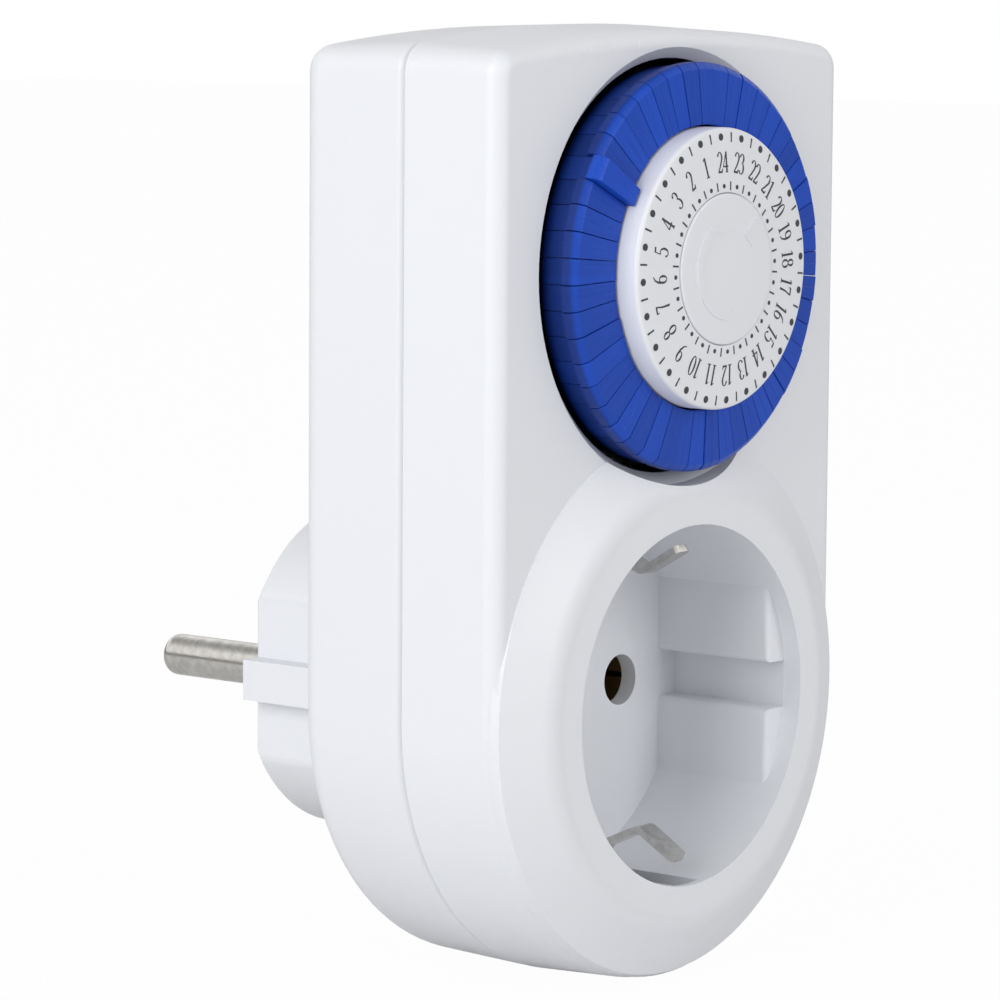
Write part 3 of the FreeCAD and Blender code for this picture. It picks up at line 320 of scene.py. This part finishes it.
def lathe(name, profile, steps=144):
    """A piece turned about the dial's axis from a closed run of (y, radius) points."""
    work = bmesh.new()
    rows = []
    for y, radius in profile:
        if radius == 0:
            rows.append([work.verts.new(Vector((0, y, DIAL_Z)) * MM)] * steps)
            continue
        row = []
        for step in range(steps):
            turn = 2 * math.pi * step / steps
            place = Vector((radius * math.cos(turn), y, DIAL_Z + radius * math.sin(turn)))
            row.append(work.verts.new(place * MM))
        rows.append(row)
    for one, two in zip(rows, rows[1:] + rows[:1]):
        for step in range(steps):
            after = (step + 1) % steps
            corners = list(dict.fromkeys((one[step], one[after], two[after], two[step])))
            if len(corners) > 2:
                work.faces.new(corners)
    bmesh.ops.recalc_face_normals(work, faces=work.faces)
    mesh = bpy.data.meshes.new(name)
    work.to_mesh(mesh)
    work.free()
    mesh.shade_smooth()
    mesh.set_sharp_from_angle(angle=math.radians(32))
    mesh.materials.append(smooth_white)
    piece = bpy.data.objects.new(name, mesh)
    bpy.context.scene.collection.objects.link(piece)
    return piece


DISC_RADIUS, DISC_INSIDE, DISC_BACK, DISC_WEB_BACK, DISC_ROUND = 15.3, 14.1, -43.0, -52.2, 0.45
HUB_RADIUS, HUB_ROUND, HUB_HOLE, HOLE_BEVEL = 8.2, 0.2, 8.28, 0.08
disc_section = [(DISC_WEB_BACK, 0), (HUB_SEAT, 0), (HUB_SEAT, HUB_HOLE),
                (DISC_FRONT + dome_drop(HUB_HOLE) + HOLE_BEVEL, HUB_HOLE)]
disc_section += [(DISC_FRONT + dome_drop(radius), radius)
                 for radius in (HUB_HOLE + HOLE_BEVEL, 9.5, 10.7, 11.9, 13.1, 14.2)]
disc_section += rounded_rim(DISC_RADIUS, DISC_FRONT, DISC_ROUND)
disc_section += [(DISC_BACK, DISC_RADIUS), (DISC_BACK, DISC_INSIDE), (DISC_WEB_BACK, DISC_INSIDE)]
hub_section = [(HUB_SEAT, 0), (HUB_FRONT, 0)]
hub_section += [(HUB_FRONT + dome_drop(radius), radius) for radius in (1.6, 3.2, 4.8, 6.4, 7.6)]
hub_section += rounded_rim(HUB_RADIUS, HUB_FRONT, HUB_ROUND) + [(HUB_SEAT, HUB_RADIUS)]
for node, name, section in (("dial_disc", "hour_disc", disc_section),
                            ("hub_cap", "hub_button", hub_section)):
    piece = lathe(name, section)
    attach(piece, "dial")
    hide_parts(node)


def on_dome(across, up, front, proud=0.0):
    """A point of the dial's dome in metres, from millimetres across and up from its centre."""
    return Vector((across, front + dome_drop(math.hypot(across, up)) - proud, DIAL_Z + up)) * MM


def raised_strips(name, strips, front, proud, sunk, material):
    """Low raised strips on the dome. A strip is a list of (left point, right point) pairs."""
    work = bmesh.new()
    for strip in strips:
        rows = []
        for left, right in strip:
            top = [work.verts.new(on_dome(*point, front, proud)) for point in (left, right)]
            low = [work.verts.new(on_dome(*point, front, -sunk)) for point in (left, right)]
            rows.append((top[0], top[1], low[1], low[0]))
        for one, two in zip(rows, rows[1:]):
            for side in range(4):
                after = (side + 1) % 4
                work.faces.new((one[side], one[after], two[after], two[side]))
        work.faces.new(rows[0])
        work.faces.new(rows[-1])
    bmesh.ops.recalc_face_normals(work, faces=work.faces)
    mesh = bpy.data.meshes.new(name)
    work.to_mesh(mesh)
    work.free()
    mesh.materials.append(material)
    piece = bpy.data.objects.new(name, mesh)
    bpy.context.scene.collection.objects.link(piece)
    return piece


def arc_strip(radius, half_width, start, end, steps):
    """A strip along an arc of the dial, between two angles in degrees."""
    strip = []
    for step in range(steps + 1):
        angle = math.radians(start + (end - start) * step / steps)
        strip.append([((radius + side * half_width) * math.cos(angle),
                       (radius + side * half_width) * math.sin(angle)) for side in (-1, 1)])
    return strip


def line_strip(start, end, half_width):
    """A straight strip between two points of the dial, cut in four so that it follows the dome."""
    along = Vector(end) - Vector(start)
    side = Vector((-along.y, along.x)).normalized() * half_width
    points = [Vector(start) + along * step / 4 for step in range(5)]
    return [(tuple(point - side), tuple(point + side)) for point in points]


arrow_strips = [arc_strip(5.1, 0.42, 127, 282, 40), line_strip((-3.3, 4.3), (-0.7, 4.45), 0.35),
                line_strip((2.96, 3.7), (5.55, 5.45), 0.16), line_strip((2.96, 3.7), (4.4, 2.4), 0.16)]
arrow = raised_strips("turning_arrow", arrow_strips, HUB_FRONT, 0.12, 0.05, smooth_white)
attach(arrow, "dial")

# Hour print: dark grey ink printed on the disc. A dot marks each hour and a dash each half hour,
# on an outer and an inner ring, with the numbers 1 to 24 between them, their tops outwards.
HOUR_ANGLE, FIRST_HOUR = 15.0, 93.18
ink = moulding("print_ink", (0.045, 0.045, 0.05), 0.5, 0.4 * MM, 0.05)


def marks_tree():
    """Repeats one mark round the dial, on a ring of given radius, count and first angle."""
    tree = bpy.data.node_groups.new("ring_of_marks", "GeometryNodeTree")
    tree.interface.new_socket("Mark", in_out="INPUT", socket_type="NodeSocketObject")
    tree.interface.new_socket("Count", in_out="INPUT", socket_type="NodeSocketInt")
    tree.interface.new_socket("Step", in_out="INPUT", socket_type="NodeSocketFloat")
    tree.interface.new_socket("First Angle", in_out="INPUT", socket_type="NodeSocketFloat")
    tree.interface.new_socket("Finish", in_out="INPUT", socket_type="NodeSocketMaterial")
    tree.interface.new_socket("Geometry", in_out="OUTPUT", socket_type="NodeSocketGeometry")
    nodes, links = tree.nodes, tree.links
    given, result = nodes.new("NodeGroupInput"), nodes.new("NodeGroupOutput")
    spots, mark = nodes.new("GeometryNodeMeshLine"), nodes.new("GeometryNodeObjectInfo")
    spots.inputs["Offset"].default_value = (0, 0, 0)
    place, index = nodes.new("GeometryNodeInstanceOnPoints"), nodes.new("GeometryNodeInputIndex")
    turn, angle = nodes.new("ShaderNodeMath"), nodes.new("ShaderNodeMath")
    turn.operation, angle.operation = "MULTIPLY", "ADD"
    negative, rotation = nodes.new("ShaderNodeMath"), nodes.new("ShaderNodeCombineXYZ")
    negative.operation = "MULTIPLY"
    negative.inputs[1].default_value = -1.0
    realize, finish = nodes.new("GeometryNodeRealizeInstances"), nodes.new("GeometryNodeSetMaterial")
    links.new(given.outputs["Mark"], mark.inputs["Object"])
    links.new(given.outputs["Count"], spots.inputs["Count"])
    links.new(spots.outputs["Mesh"], place.inputs["Points"])
    links.new(mark.outputs["Geometry"], place.inputs["Instance"])
    links.new(index.outputs[0], turn.inputs[0])
    links.new(given.outputs["Step"], turn.inputs[1])
    links.new(turn.outputs[0], angle.inputs[0])
    links.new(given.outputs["First Angle"], angle.inputs[1])
    links.new(angle.outputs[0], negative.inputs[0])
    links.new(negative.outputs[0], rotation.inputs["Y"])
    links.new(rotation.outputs[0], place.inputs["Rotation"])
    links.new(place.outputs["Instances"], realize.inputs["Geometry"])
    links.new(realize.outputs["Geometry"], finish.inputs["Geometry"])
    links.new(given.outputs["Finish"], finish.inputs["Material"])
    links.new(finish.outputs["Geometry"], result.inputs["Geometry"])
    return tree


round_the_dial = marks_tree()


def repeated(name, pattern, count, step, first_angle, finish, forward=0.0):
    """A plain mesh of one pattern repeated round the dial. Angles are in degrees."""
    holder = bpy.data.objects.new(name + "_maker", bpy.data.meshes.new(name + "_maker"))
    bpy.context.scene.collection.objects.link(holder)
    modifier = holder.modifiers.new("RingOfMarks", "NODES")
    modifier.node_group = round_the_dial
    values = {"Mark": pattern, "Count": count, "Step": math.radians(step),
              "First Angle": math.radians(first_angle), "Finish": finish}
    for item in round_the_dial.interface.items_tree:
        if item.in_out == "INPUT":
            modifier[item.identifier] = values[item.name]
    bpy.context.view_layer.update()
    ready = holder.evaluated_get(bpy.context.evaluated_depsgraph_get())
    mesh = bpy.data.meshes.new_from_object(ready)
    mesh.transform(Matrix.Translation((0, -forward * MM, DIAL_Z * MM)))
    mesh.name = name
    piece = bpy.data.objects.new(name, mesh)
    bpy.context.scene.collection.objects.link(piece)
    bpy.data.objects.remove(holder)
    return piece


def print_pattern(name, strips):
    """One printed mark on the +X side of the dial, its centre moved to the origin."""
    pattern = raised_strips(name, strips, DISC_FRONT, 0.02, 0.05, ink)
    pattern.data.transform(Matrix.Translation((0, 0, -DIAL_Z * MM)))
    return pattern


def dot_strips(radius, dot_radius):
    """A round dot as one strip whose width follows a circle."""
    steps = [-0.999, -0.92, -0.7, -0.38, 0.0, 0.38, 0.7, 0.92, 0.999]
    return [[((radius + share * dot_radius, -dot_radius * math.sqrt(1 - share ** 2)),
              (radius + share * dot_radius, dot_radius * math.sqrt(1 - share ** 2))) for share in steps]]


OUTER_RING, INNER_RING, DASH_HALF_WIDTH = 14.285, 8.99, 0.1
outer_dash = line_strip((OUTER_RING - 0.55, 0), (OUTER_RING + 0.5, 0), DASH_HALF_WIDTH)
inner_dash = line_strip((INNER_RING - 0.45, 0), (INNER_RING + 0.5, 0), DASH_HALF_WIDTH)
rings = {"outer_hour_dots": (dot_strips(OUTER_RING, 0.4), 0.0),
         "outer_half_dashes": ([outer_dash], HOUR_ANGLE / 2),
         "inner_hour_dots": (dot_strips(INNER_RING, 0.25), 0.0),
         "inner_half_dashes": ([inner_dash], HOUR_ANGLE / 2)}
for name, (strips, shift) in rings.items():
    pattern = print_pattern(name + "_pattern", strips)
    marks = repeated(name, pattern, 24, HOUR_ANGLE, FIRST_HOUR + shift, ink)
    bpy.data.objects.remove(pattern)
    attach(marks, "dial")

# Each digit is drawn with a pen: its strokes are runs of (across, up, half width of the pen) in a
# box one unit high, thin at the serifs and thick on the stems, as on a narrow printed numeral.
THIN, THICK = 0.022, 0.052


def oval(across, up, wide, high, start=0, end=360, thin=THIN, thick=THICK):
    """A pen stroke along an ellipse, thick at its sides."""
    steps = max(6, abs(end - start) // 20)
    stroke = []
    for step in range(steps + 1):
        angle = math.radians(start + (end - start) * step / steps)
        half_width = thin + (thick - thin) * math.cos(angle) ** 2
        stroke.append((across + wide * math.cos(angle), up + high * math.sin(angle), half_width))
    return stroke


def serif(across, up, reach=0.12):
    """A thin level serif."""
    return [(across - reach, up, THIN), (across + reach, up, THIN)]


DIGITS = {
    "0": [oval(0.21, 0.5, 0.16, 0.46)],
    "1": [[(0.22, 0.96, THICK), (0.22, 0.03, THICK)], serif(0.22, 0.025),
          [(0.08, 0.84, THIN), (0.2, 0.95, THIN)]],
    "2": [oval(0.2, 0.72, 0.15, 0.24, 170, -30) + [(0.2, 0.3, 0.04), (0.05, 0.05, THIN)],
          [(0.05, 0.055, 0.05), (0.32, 0.055, 0.05), (0.37, 0.2, THIN)]],
    "3": [oval(0.18, 0.75, 0.14, 0.21, 165, -80), oval(0.18, 0.29, 0.17, 0.26, 80, -155)],
    "4": [[(0.28, 0.96, THICK), (0.28, 0.03, THICK)], serif(0.28, 0.025, 0.09),
          [(0.26, 0.92, THIN), (0.03, 0.3, THIN)], [(0.02, 0.28, 0.034), (0.4, 0.28, 0.034)]],
    "5": [[(0.1, 0.93, 0.045), (0.34, 0.95, 0.045)], [(0.1, 0.93, THIN), (0.07, 0.55, THIN)],
          oval(0.18, 0.31, 0.18, 0.28, 125, -155)],
    "6": [[(0.36, 0.95, THIN), (0.2, 0.84, 0.035), (0.09, 0.6, 0.05), (0.06, 0.3, THICK)],
          oval(0.21, 0.29, 0.15, 0.26)],
    "7": [[(0.03, 0.93, 0.045), (0.38, 0.93, 0.045)], [(0.03, 0.95, THIN), (0.04, 0.78, THIN)],
          [(0.37, 0.93, 0.03), (0.23, 0.5, 0.04), (0.17, 0.02, THICK)]],
    "8": [oval(0.21, 0.75, 0.13, 0.21), oval(0.21, 0.28, 0.16, 0.25)],
    "9": [[(0.06, 0.03, THIN), (0.22, 0.14, 0.035), (0.33, 0.4, 0.05), (0.36, 0.68, THICK)],
          oval(0.21, 0.71, 0.15, 0.25)],
}
DIGIT_HEIGHT, DIGIT_ADVANCE, NUMBER_RADIUS = 2.35, 0.41, 11.6


def pen_strip(stroke):
    """The left and right edges of a pen stroke, square to its run."""
    strip = []
    for index, (across, up, half_width) in enumerate(stroke):
        before, after = stroke[max(index - 1, 0)], stroke[min(index + 1, len(stroke) - 1)]
        along = Vector((after[0] - before[0], after[1] - before[1])).normalized()
        side = Vector((-along.y, along.x)) * half_width
        strip.append((Vector((across, up)) - side, Vector((across, up)) + side))
    return strip


def number_strips(hour):
    """The strokes of one hour number, turned so that its top points outwards."""
    text = str(hour)
    angle = math.radians(FIRST_HOUR + HOUR_ANGLE * hour)
    outwards = Vector((math.cos(angle), math.sin(angle)))
    reading = Vector((math.sin(angle), -math.cos(angle)))
    strips = []
    for place, digit in enumerate(text):
        left = (place - len(text) / 2) * DIGIT_ADVANCE
        for stroke in DIGITS[digit]:
            edges = []
            for pair in pen_strip(stroke):
                edges.append([tuple(outwards * (NUMBER_RADIUS + (point.y - 0.5) * DIGIT_HEIGHT)
                                    + reading * (point.x + left) * DIGIT_HEIGHT) for point in pair])
            strips.append(edges)
    return strips


number_shapes = [strip for hour in range(1, 25) for strip in number_strips(hour)]
numbers = raised_strips("hour_numbers", number_shapes, DISC_FRONT, 0.025, 0.05, ink)
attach(numbers, "dial")

# Switching segments: forty-eight riders moulded in blue, one for each half hour. They straddle the
# wheel's guide ring, and one that is pushed back moves the switch's lever as it passes.
SEGMENT_ANGLE, SEGMENT_GAP, FIRST_JOINT = 7.5, 0.2, 2.5
PRESSED_FRONT, SHADE_FRONT, SHADE_BACK = -51.1, -51.2, -45.2
STREAKS_ROUND, STREAKS_OUTWARDS = 120.0, 90.0


def rider_sections():
    """The rider's cross-sections, each at its angle from the middle, in millimetres."""
    half_sweep = (SEGMENT_ANGLE - SEGMENT_GAP) / 2
    # share of the half sweep, how far the front face falls back, how far the rim is drawn in
    side = [(1.0, 0.1, 0.1), (0.985, 0.03, 0.03), (0.955, 0.0, 0.0), (0.5, 0.0, 0.0), (0.03, 0.0, 0.0)]
    stations = [(-share, fall, draw) for share, fall, draw in side] + [(0.0, -0.025, 0.0)] + side[::-1]
    inner, rim, skirt, groove_outer, groove_inner = 15.53, 22.27, 21.78, 20.62, 16.68
    foot, groove_floor, inner_foot = -38.02, -49.0, -43.42
    for share, fall, draw in stations:
        front = [(-50.98 + fall, inner), (-51.07 + fall, 15.68), (-50.67 + fall, 21.5),
                 (-50.58 + fall, 21.66), (-50.12 + fall, 22.17 - draw), (-49.98 + fall, rim - draw)]
        rest = [(-48.95, rim - draw), (-48.72, skirt), (foot, skirt), (foot, groove_outer),
                (groove_floor, groove_outer), (groove_floor, groove_inner), (inner_foot, groove_inner),
                (inner_foot, inner)]
        yield math.radians(share * half_sweep), front + rest


def rider_pattern():
    """One rider on the +X side of the dial's axis, with its front at the pressed place."""
    work = bmesh.new()
    rows = []
    for angle, section in rider_sections():
        rows.append([work.verts.new(Vector((radius * math.cos(angle), y, radius * math.sin(angle))) * MM)
                     for y, radius in section])
    for one, two in zip(rows, rows[1:]):
        for index in range(len(one)):
            after = (index + 1) % len(one)
            work.faces.new((one[index], one[after], two[after], two[index]))
    work.faces.new(rows[0])
    work.faces.new(rows[-1])
    bmesh.ops.recalc_face_normals(work, faces=work.faces)
    mesh = bpy.data.meshes.new("rider_pattern")
    work.to_mesh(mesh)
    work.free()
    mesh.shade_smooth()
    mesh.set_sharp_from_angle(angle=math.radians(14))
    pattern = bpy.data.objects.new("rider_pattern", mesh)
    bpy.context.scene.collection.objects.link(pattern)
    return pattern


def streak(material, colour):
    """Fine drawn streaks that run outwards along the segments, a slightly different blue for each
    segment, and painted shade: darker behind the flange and almost black at the foot."""
    nodes, links = material.node_tree.nodes, material.node_tree.links
    radius, angle, depth = polar_round_dial(nodes, links)
    number, shift, whole, spread, run = new_nodes(nodes, *["ShaderNodeMath"] * 5)
    number.operation, whole.operation, shift.operation = "DIVIDE", "FLOOR", "ADD"
    spread.operation, run.operation = "MULTIPLY", "MULTIPLY"
    number.inputs[1].default_value = math.radians(SEGMENT_ANGLE)
    shift.inputs[1].default_value = -FIRST_JOINT / SEGMENT_ANGLE
    spread.inputs[1].default_value, run.inputs[1].default_value = STREAKS_ROUND, STREAKS_OUTWARDS
    random, lines, place = new_nodes(nodes, "ShaderNodeTexWhiteNoise", "ShaderNodeTexNoise",
                                     "ShaderNodeCombineXYZ")
    random.noise_dimensions = "1D"
    lines.inputs["Scale"].default_value = 1.0
    lines.inputs["Detail"].default_value = 3.0
    links.new(angle, number.inputs[0])
    links.new(number.outputs[0], shift.inputs[0])
    links.new(shift.outputs[0], whole.inputs[0])
    links.new(whole.outputs[0], random.inputs["W"])
    links.new(angle, spread.inputs[0])
    links.new(radius, run.inputs[0])
    links.new(spread.outputs[0], place.inputs["X"])
    links.new(run.outputs[0], place.inputs["Y"])
    links.new(depth, place.inputs["Z"])
    links.new(place.outputs["Vector"], lines.inputs["Vector"])
    tint, bright, shaded = new_nodes(nodes, *["ShaderNodeMix"] * 3)
    tint.data_type = "RGBA"
    for end, strength in (("A", 0.86), ("B", 1.1)):
        tint.inputs[end].default_value = (*[part * strength for part in colour], 1)
    for item, share in ((bright, 0.35), (shaded, 1.0)):
        item.data_type, item.blend_type = "RGBA", "MULTIPLY"
        item.inputs["Factor"].default_value = share
    # Painted shade: behind its flange the rider is painted darker, standing in for the opening's shade,
    # and its foot is painted almost black
    backwards, shade_ramp = new_nodes(nodes, "ShaderNodeMapRange", "ShaderNodeValToRGB")
    backwards.inputs["From Min"].default_value = SHADE_FRONT * MM
    backwards.inputs["From Max"].default_value = SHADE_BACK * MM
    fill_ramp(shade_ramp, ((0.16, 1.0), (0.23, 0.5), (0.82, 0.42), (0.92, 0.012)))
    links.new(depth, backwards.inputs["Value"])
    links.new(backwards.outputs["Result"], shade_ramp.inputs["Fac"])
    links.new(random.outputs["Value"], tint.inputs["Factor"])
    links.new(tint.outputs["Result"], bright.inputs["A"])
    links.new(lines.outputs["Fac"], bright.inputs["B"])
    links.new(bright.outputs["Result"], shaded.inputs["A"])
    links.new(shade_ramp.outputs["Color"], shaded.inputs["B"])
    links.new(shaded.outputs["Result"], nodes["Principled BSDF"].inputs["Base Color"])


segment_blue = moulding("segment_blue_abs", BLUE, 0.42, 0.25 * MM, 0.12, 0.3)
streak(segment_blue, (0.008, 0.076, 0.56))
rider = rider_pattern()
rider_groups = [(-1, 2)] + [(first, 2) for first in range(1, 19, 2)] + [(19, 1)]
rider_groups += [(first, 2) for first in range(20, 46, 2)] + [(46, 1)]
for position, (first, count) in enumerate(rider_groups, start=1):
    node = "segments_%02d" % position
    lift = PRESSED_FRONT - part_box(node)[0].y / MM
    first_middle = FIRST_JOINT + (first + 0.5) * SEGMENT_ANGLE
    # Play in the wheel lets each group sit up to 0.14 mm back from its place
    play = 0.07 * (1 + math.sin(position * 2.4))
    riders = repeated("riders_%02d" % position, rider, count, SEGMENT_ANGLE, first_middle,
                      segment_blue, lift - play)
    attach(riders, node)
    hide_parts(node)
bpy.data.objects.remove(rider)

# Works inside the case: the motor, its gears, the switch and the bars, hidden by the covers.
# They keep the plain metal and plastic finishes of the CAD model, made a little truer here.
natural_plastic = moulding("natural_plastic", (0.7, 0.68, 0.6), 0.4, 0.4 * MM, 0.05)
steel_sheet = metal("steel_sheet", (0.5, 0.5, 0.52), 0.35)
copper_wire = metal("copper_wire", (0.6, 0.25, 0.12), 0.3)
works = {steel_sheet: ["rotor", "gear_arbors", "mechanism_plate", "plate_screws", "lever_pivot",
                       "lever_spring", "motor_can", "motor_cover", "stator_poles", "axle_clip"],
         natural_plastic: ["gear_1", "gear_2", "gear_3", "drive_pinion", "motor_bobbin", "switch_plunger",
                           "follower_lever", "dial_axle"],
         bare_brass: ["live_input_bar", "live_output_bar", "neutral_bar"],
         copper_wire: ["motor_coil"]}
for material, names in works.items():
    for name in names:
        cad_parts[name].material_slots[0].material = material


# Studio: a plain white floor, a bright surround and soft lamps. The camera stands at the
# photograph's place, found from the plug pins' and the socket's standard sizes.
def studio_material():
    """White to the camera, with the object's shadow kept faintly."""
    material = bpy.data.materials.new("studio_white")
    material.use_nodes = True
    nodes, links = material.node_tree.nodes, material.node_tree.links
    shader = nodes["Principled BSDF"]
    shader.inputs["Base Color"].default_value = (0.8, 0.8, 0.8, 1)
    shader.inputs["Roughness"].default_value = 0.9
    bright, mix, rays, share = new_nodes(nodes, "ShaderNodeEmission", "ShaderNodeMixShader",
                                         "ShaderNodeLightPath", "ShaderNodeMath")
    share.operation = "MULTIPLY"
    share.inputs[1].default_value = 0.975
    links.new(rays.outputs["Is Camera Ray"], share.inputs[0])
    links.new(share.outputs[0], mix.inputs["Fac"])
    links.new(shader.outputs["BSDF"], mix.inputs[1])
    links.new(bright.outputs["Emission"], mix.inputs[2])
    links.new(mix.outputs["Shader"], nodes["Material Output"].inputs["Surface"])
    return material


floor_mesh = bpy.data.meshes.new("studio_floor")
FLOOR_REACH, floor_z = 3.0, cad_low[2] - 0.2 * MM
corners = [(-FLOOR_REACH, -FLOOR_REACH, floor_z), (FLOOR_REACH, -FLOOR_REACH, floor_z),
           (FLOOR_REACH, FLOOR_REACH, floor_z), (-FLOOR_REACH, FLOOR_REACH, floor_z)]
floor_mesh.from_pydata(corners, [], [(0, 1, 2, 3)])
floor_mesh.materials.append(studio_material())
floor = bpy.data.objects.new("studio_floor", floor_mesh)
bpy.context.scene.collection.objects.link(floor)

world = bpy.data.worlds.new("studio_surround")
bpy.context.scene.world = world
world.use_nodes = True
surround = world.node_tree.nodes["Background"]
surround.inputs["Color"].default_value = (1, 1, 1, 1)
sky, wires = world.node_tree.nodes, world.node_tree.links
rays, brightness, mirrored = new_nodes(sky, "ShaderNodeLightPath", "ShaderNodeMapRange", "ShaderNodeMix")
direction, heights, bands = new_nodes(sky, "ShaderNodeTexCoord", "ShaderNodeSeparateXYZ",
                                      "ShaderNodeValToRGB")
brightness.inputs["To Min"].default_value = 0.5
brightness.inputs["To Max"].default_value = 1.0
# What shiny metal mirrors: a dark horizon, a bright band of lamps above it and a dark ceiling
fill_ramp(bands, ((0.0, 0.12), (0.10, 0.15), (0.22, 1.0), (0.6, 1.0), (0.78, 0.25), (0.9, 0.1)))
wires.new(direction.outputs["Generated"], heights.inputs["Vector"])
wires.new(heights.outputs["Z"], bands.inputs["Fac"])
wires.new(rays.outputs["Is Camera Ray"], brightness.inputs["Value"])
wires.new(rays.outputs["Is Glossy Ray"], mirrored.inputs["Factor"])
wires.new(brightness.outputs["Result"], mirrored.inputs["A"])
wires.new(bands.outputs["Color"], mirrored.inputs["B"])
wires.new(mirrored.outputs["Result"], surround.inputs["Strength"])


def soft_lamp(name, place, aim, width, power):
    """A square soft lamp turned towards a point."""
    data = bpy.data.lights.new(name, "AREA")
    data.size, data.energy = width, power
    lamp = bpy.data.objects.new(name, data)
    lamp.location = place
    lamp.rotation_euler = (Vector(aim) - Vector(place)).to_track_quat("-Z", "Y").to_euler()
    bpy.context.scene.collection.objects.link(lamp)


middle = (0, -0.03, 0.02)
soft_lamp("side_lamp", (-0.9, -0.05, 0.35), middle, 0.6, 5.0)
soft_lamp("front_lamp", (0.1, -0.95, 0.4), middle, 0.5, 2.6)

AZIMUTH, ELEVATION, ROLL = (math.radians(angle) for angle in (-50.816, 6.494, 0.427))
DISTANCE, FOCAL_PIXELS, FRAME_PIXELS, SENSOR = 510.145, 4643.953, 1000, 36.0
AIM_ACROSS, AIM_UP = -21.356, 22.588
socket_face = Vector((0, -50.4, 0))
back = Vector((math.sin(AZIMUTH) * math.cos(ELEVATION), -math.cos(AZIMUTH) * math.cos(ELEVATION),
               math.sin(ELEVATION)))
level = (-back).cross(Vector((0, 0, 1))).normalized()
upright = level.cross(-back)
right = math.cos(ROLL) * level + math.sin(ROLL) * upright
up = math.cos(ROLL) * upright - math.sin(ROLL) * level
lens = bpy.data.cameras.new("photo_camera")
lens.sensor_width, lens.lens = SENSOR, FOCAL_PIXELS * SENSOR / FRAME_PIXELS
camera = bpy.data.objects.new("photo_camera", lens)
turn = Matrix((right, up, back)).transposed().to_4x4()
stand = (AIM_ACROSS * right + AIM_UP * up + DISTANCE * back + socket_face) * MM
camera.matrix_world = Matrix.Translation(stand) @ turn
bpy.context.scene.collection.objects.link(camera)
bpy.context.scene.camera = camera
bpy.context.scene.view_settings.view_transform = "Standard"
